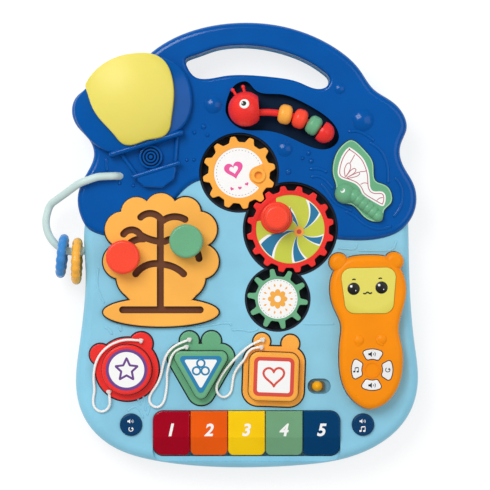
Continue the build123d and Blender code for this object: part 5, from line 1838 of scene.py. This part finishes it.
@dataclass
class Telephone(Assembly):
    """Orange toy telephone with a face behind its window and four ring-sector buttons."""

    eyes: list[tuple[float, float]] = field(default_factory=lambda: [(110.6, -38.7), (135.5, -37.6)])
    eye_radius: float = 5.7
    eye_lights: tuple[tuple[float, float, float], ...] = ((-2.0, 2.0, 1.35), (1.8, -1.6, 0.7))
    brows: list[list[tuple[float, float]]] = field(default_factory=lambda: [
        [(109.1, -30.8), (110.9, -30.0), (112.6, -30.6)], [(132.7, -29.9), (134.4, -29.0), (136.1, -29.6)]])
    mouth: list[tuple[float, float]] = field(default_factory=lambda: [
        (118.9, -42.5), (120.9, -43.5), (123.0, -41.2), (125.1, -43.3), (127.2, -41.9)])
    paws: list[list[tuple[float, float]]] = field(default_factory=lambda: [
        [(110.4, -83.2), (115.1, -82.3), (119.0, -84.6), (117.2, -88.2), (112.6, -89.3)],
        [(139.0, -81.8), (134.5, -81.4), (130.8, -83.9), (132.7, -87.5), (137.7, -88.9)]])
    paw_places: list[tuple[float, float]] = field(default_factory=lambda: [(115.4, -84.8), (135.8, -83.9)])
    pad_centre: tuple[float, float] = (127.2, -111.0)
    hub_radius: float = 7.2
    sign_radius: float = 13.9
    sign_sizes: dict[Side, float] = field(default_factory=lambda: {
        Side.RIGHT: 5.2, Side.LEFT: 4.6, Side.TOP: 5.6, Side.BOTTOM: 5.6})
    face_line: float = 1.25
    paw_line: float = 2.2
    pad_radius: float = 4.6

    def build(self) -> None:
        """Dress the telephone and add its face, paws, hub ring, the buttons' signs and painted shade round
        the buttons.
        """
        finish = self.finisher
        finish.node(self.palette.phone, "phone_back", "phone_front")
        finish.node(self.palette.screen, "phone_lens")
        finish.node(self.palette.pad_white, *["phone_button_" + side.name.lower() for side in Side])
        self.face()
        for index, path in enumerate(self.paws):
            paw = ridge("phone_paw_" + str(index + 1), path, self.paw_line, 0.55, PHONE_TOP)
            finish.piece(paw, self.palette.phone, Body.TELEPHONE, "telephone_orange")
        hub = self.pad_centre
        ring = at(circle(self.hub_radius, 72), hub)
        band_ring = band("phone_hub_ring", ring, inset(ring, 1.1), PHONE_TOP - SUNK, PHONE_TOP + 0.7)
        finish.piece(band_ring, self.palette.phone, Body.TELEPHONE, "telephone_orange")
        for index, place in enumerate(self.paw_places):
            pad = dome("phone_paw_pad_" + str(index + 1), place, self.pad_radius, 1.5, PHONE_TOP)
            finish.piece(pad, self.palette.phone, Body.TELEPHONE, "telephone_orange")
        for side in Side:
            self.sign(side)
            name = "phone_button_" + side.name.lower()
            # Painted shade: a dark line round each button, for the shade in the narrow gaps round it.
            gap_shade_line = closed_ridge(name + "_gap", self.outline(name, PHONE_TOP + 0.3), GAP_WIDTH, GAP_RISE,
                               PHONE_TOP)
            finish.piece(gap_shade_line, self.palette.painted_shade_line, Body.TELEPHONE, "dark_tray")

    def face(self) -> None:
        """Add eyes with two lights each, brows and a wavy mouth on the window."""
        finish = self.finisher
        for index, place in enumerate(self.eyes):
            stem = "phone_eye_" + str(index + 1)
            black = dome(stem, place, self.eye_radius, 0.7, WINDOW_TOP)
            finish.piece(black, self.palette.ink_black, Body.TELEPHONE, "dark_tray")
            for number, (dx, dy, radius) in enumerate(self.eye_lights):
                light = dome(stem + "_light_" + str(number + 1), (place[0] + dx, place[1] + dy), radius, 0.45,
                             WINDOW_TOP + 0.35, 6, 24)
                finish.piece(light, self.palette.ink_white, Body.TELEPHONE, "phone_white")
        lines = {"phone_brow_1": self.brows[0], "phone_brow_2": self.brows[1], "phone_mouth": self.mouth}
        for name, path in lines.items():
            line = ridge(name, path, self.face_line, 0.16, WINDOW_TOP)
            finish.piece(line, self.palette.ink_black, Body.TELEPHONE, "dark_tray")

    def sign(self, side: Side) -> None:
        """Print one button's plain sign.

        Args:
            side: The side of the ring that the button is on.
        """
        angle = np.radians(side.value)
        place = np.array(self.pad_centre) + self.sign_radius * polar(angle)
        body = "phone_button_" + side.name.lower()
        signs = Pictogram(self.finisher, self.palette.ink_black, body, PAD_TOP)
        draw = {Side.RIGHT: signs.turn_arrow, Side.LEFT: signs.note}.get(side, signs.loudspeaker)
        draw(body + "_sign", place, self.sign_sizes[side])


@dataclass
class Inside(Assembly):
    """Electrics behind the panel: board, speaker, battery box, cells and contacts."""

    def build(self) -> None:
        """Dress what the casing hides."""
        self.finisher.node(self.palette.board_green, "circuit_board")
        self.finisher.node(self.palette.battery_black, "battery_box", "speaker")
        self.finisher.node(self.palette.cell_green, "battery_cells")
        self.finisher.node(self.palette.nickel, "battery_contacts")


@dataclass
class Studio:
    """Pale floor, soft overhead light from the upper left, and the camera straight above."""

    middle: tuple[float, float] = (13.6, 0.4)
    camera_height: float = 2.138
    frame_width: float = 0.441
    frame_height: float = 0.038
    floor_size: float = 6.0
    sensor: float = 36.0
    key_power: float = 22.0
    fill_power: float = 4.1
    sky: float = 0.56
    sky_in_gloss: float = 0.05
    paper_glow: float = 0.7
    paper_level: float = 1.08

    def build(self) -> None:
        """Build the floor, the lights and the camera."""
        self.floor()
        self.lamp("key_light", (-0.75, 0.95, 1.7), 1.0, self.key_power)
        self.lamp("fill_light", (1.0, 0.2, 1.5), 1.2, self.fill_power)
        self.world()
        self.camera()

    def floor(self) -> None:
        """Matt white floor that looks a little lighter to the camera than its light makes it."""
        half = self.floor_size / 2
        mesh = bpy.data.meshes.new("studio_floor")
        corners = [(-half, -half, 0.0), (half, -half, 0.0), (half, half, 0.0), (-half, half, 0.0)]
        mesh.from_pydata(corners, [], [(0, 1, 2, 3)])
        floor = link_object("studio_floor", mesh)
        material, tree = new_material("matt_white_paper")
        place = add_node(tree, "ShaderNodeTexCoord").outputs["Object"]
        bump = relief(tree, noise(tree, place, 3 * MM), 0.1, 0.02 * MM)
        paper = add_node(tree, "ShaderNodeBsdfDiffuse", values={"Color": linear("#FBFBFB")},
                         links={"Normal": bump})
        glow = add_node(tree, "ShaderNodeEmission",
                        values={"Color": (1.0, 1.0, 1.0, 1.0), "Strength": self.paper_level})
        ray = add_node(tree, "ShaderNodeLightPath")
        share = add_node(tree, "ShaderNodeMath", {"operation": "MULTIPLY"}, {1: self.paper_glow},
                         {0: ray.outputs["Is Camera Ray"]})
        mixed = add_node(tree, "ShaderNodeMixShader", links={0: share.outputs["Value"],
                                                             1: paper.outputs["BSDF"],
                                                             2: glow.outputs["Emission"]})
        add_node(tree, "ShaderNodeOutputMaterial", links={"Surface": mixed.outputs["Shader"]})
        mesh.materials.append(material)

    def lamp(self, name: str, place: tuple[float, float, float], size: float, power: float) -> None:
        """Add a square area lamp that points at the panel.

        Args:
            name: Name of the lamp.
            place: Its place in metres.
            size: Side of the square in metres.
            power: Its power in watts.
        """
        light = bpy.data.lights.new(name, "AREA")
        light.shape = "SQUARE"
        light.size = size
        light.energy = power
        lamp = link_object(name, light)
        lamp.location = place
        lamp.rotation_euler = (-Vector(place)).to_track_quat("-Z", "Y").to_euler()

    def world(self) -> None:
        """Even white sky: full white to the camera, dimmer as light and dimmest in gloss."""
        world = bpy.data.worlds.new("studio_sky")
        bpy.context.scene.world = world
        world.use_nodes = True
        tree = world.node_tree
        tree.nodes.clear()
        ray = add_node(tree, "ShaderNodeLightPath")
        lit = add_node(tree, "ShaderNodeMapRange", values={"To Min": self.sky, "To Max": self.sky_in_gloss},
                       links={"Value": ray.outputs["Is Glossy Ray"]})
        level = add_node(tree, "ShaderNodeMapRange", values={"To Max": 1.0},
                         links={"Value": ray.outputs["Is Camera Ray"], "To Min": lit.outputs["Result"]})
        back = add_node(tree, "ShaderNodeBackground", values={"Color": (1.0, 1.0, 1.0, 1.0)},
                        links={"Strength": level.outputs["Result"]})
        add_node(tree, "ShaderNodeOutputWorld", links={"Surface": back.outputs["Background"]})

    def camera(self) -> None:
        """Long lens above the middle of the frame, square to the deck."""
        lens = bpy.data.cameras.new("overhead_camera")
        lens.sensor_width = self.sensor
        lens.lens = self.sensor * (self.camera_height - self.frame_height) / self.frame_width
        lens.clip_end = 50.0
        camera = link_object("overhead_camera", lens)
        camera.location = (self.middle[0] * MM, self.middle[1] * MM, self.camera_height)
        bpy.context.scene.camera = camera
        bpy.context.scene.view_settings.view_transform = "Standard"


def main() -> None:
    """Build every sub-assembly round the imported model."""
    logging.basicConfig(level=logging.INFO, format="%(name)s: %(message)s")
    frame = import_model()
    finisher = Finisher(frame)
    palette = Palette()
    Studio().build()
    ShapeBlocks(finisher, palette).build()
    assemblies = [Casing, Balloon, BeadWorm, GearTrain, WingedButton, TreeMaze, BeadLoop, Keyboard,
                  ControlButtons, Telephone, Inside]
    for assembly in assemblies:
        assembly(finisher, palette).build()
        LOG.info("%s done", assembly.__name__)


if __name__ == "__main__":
    main()
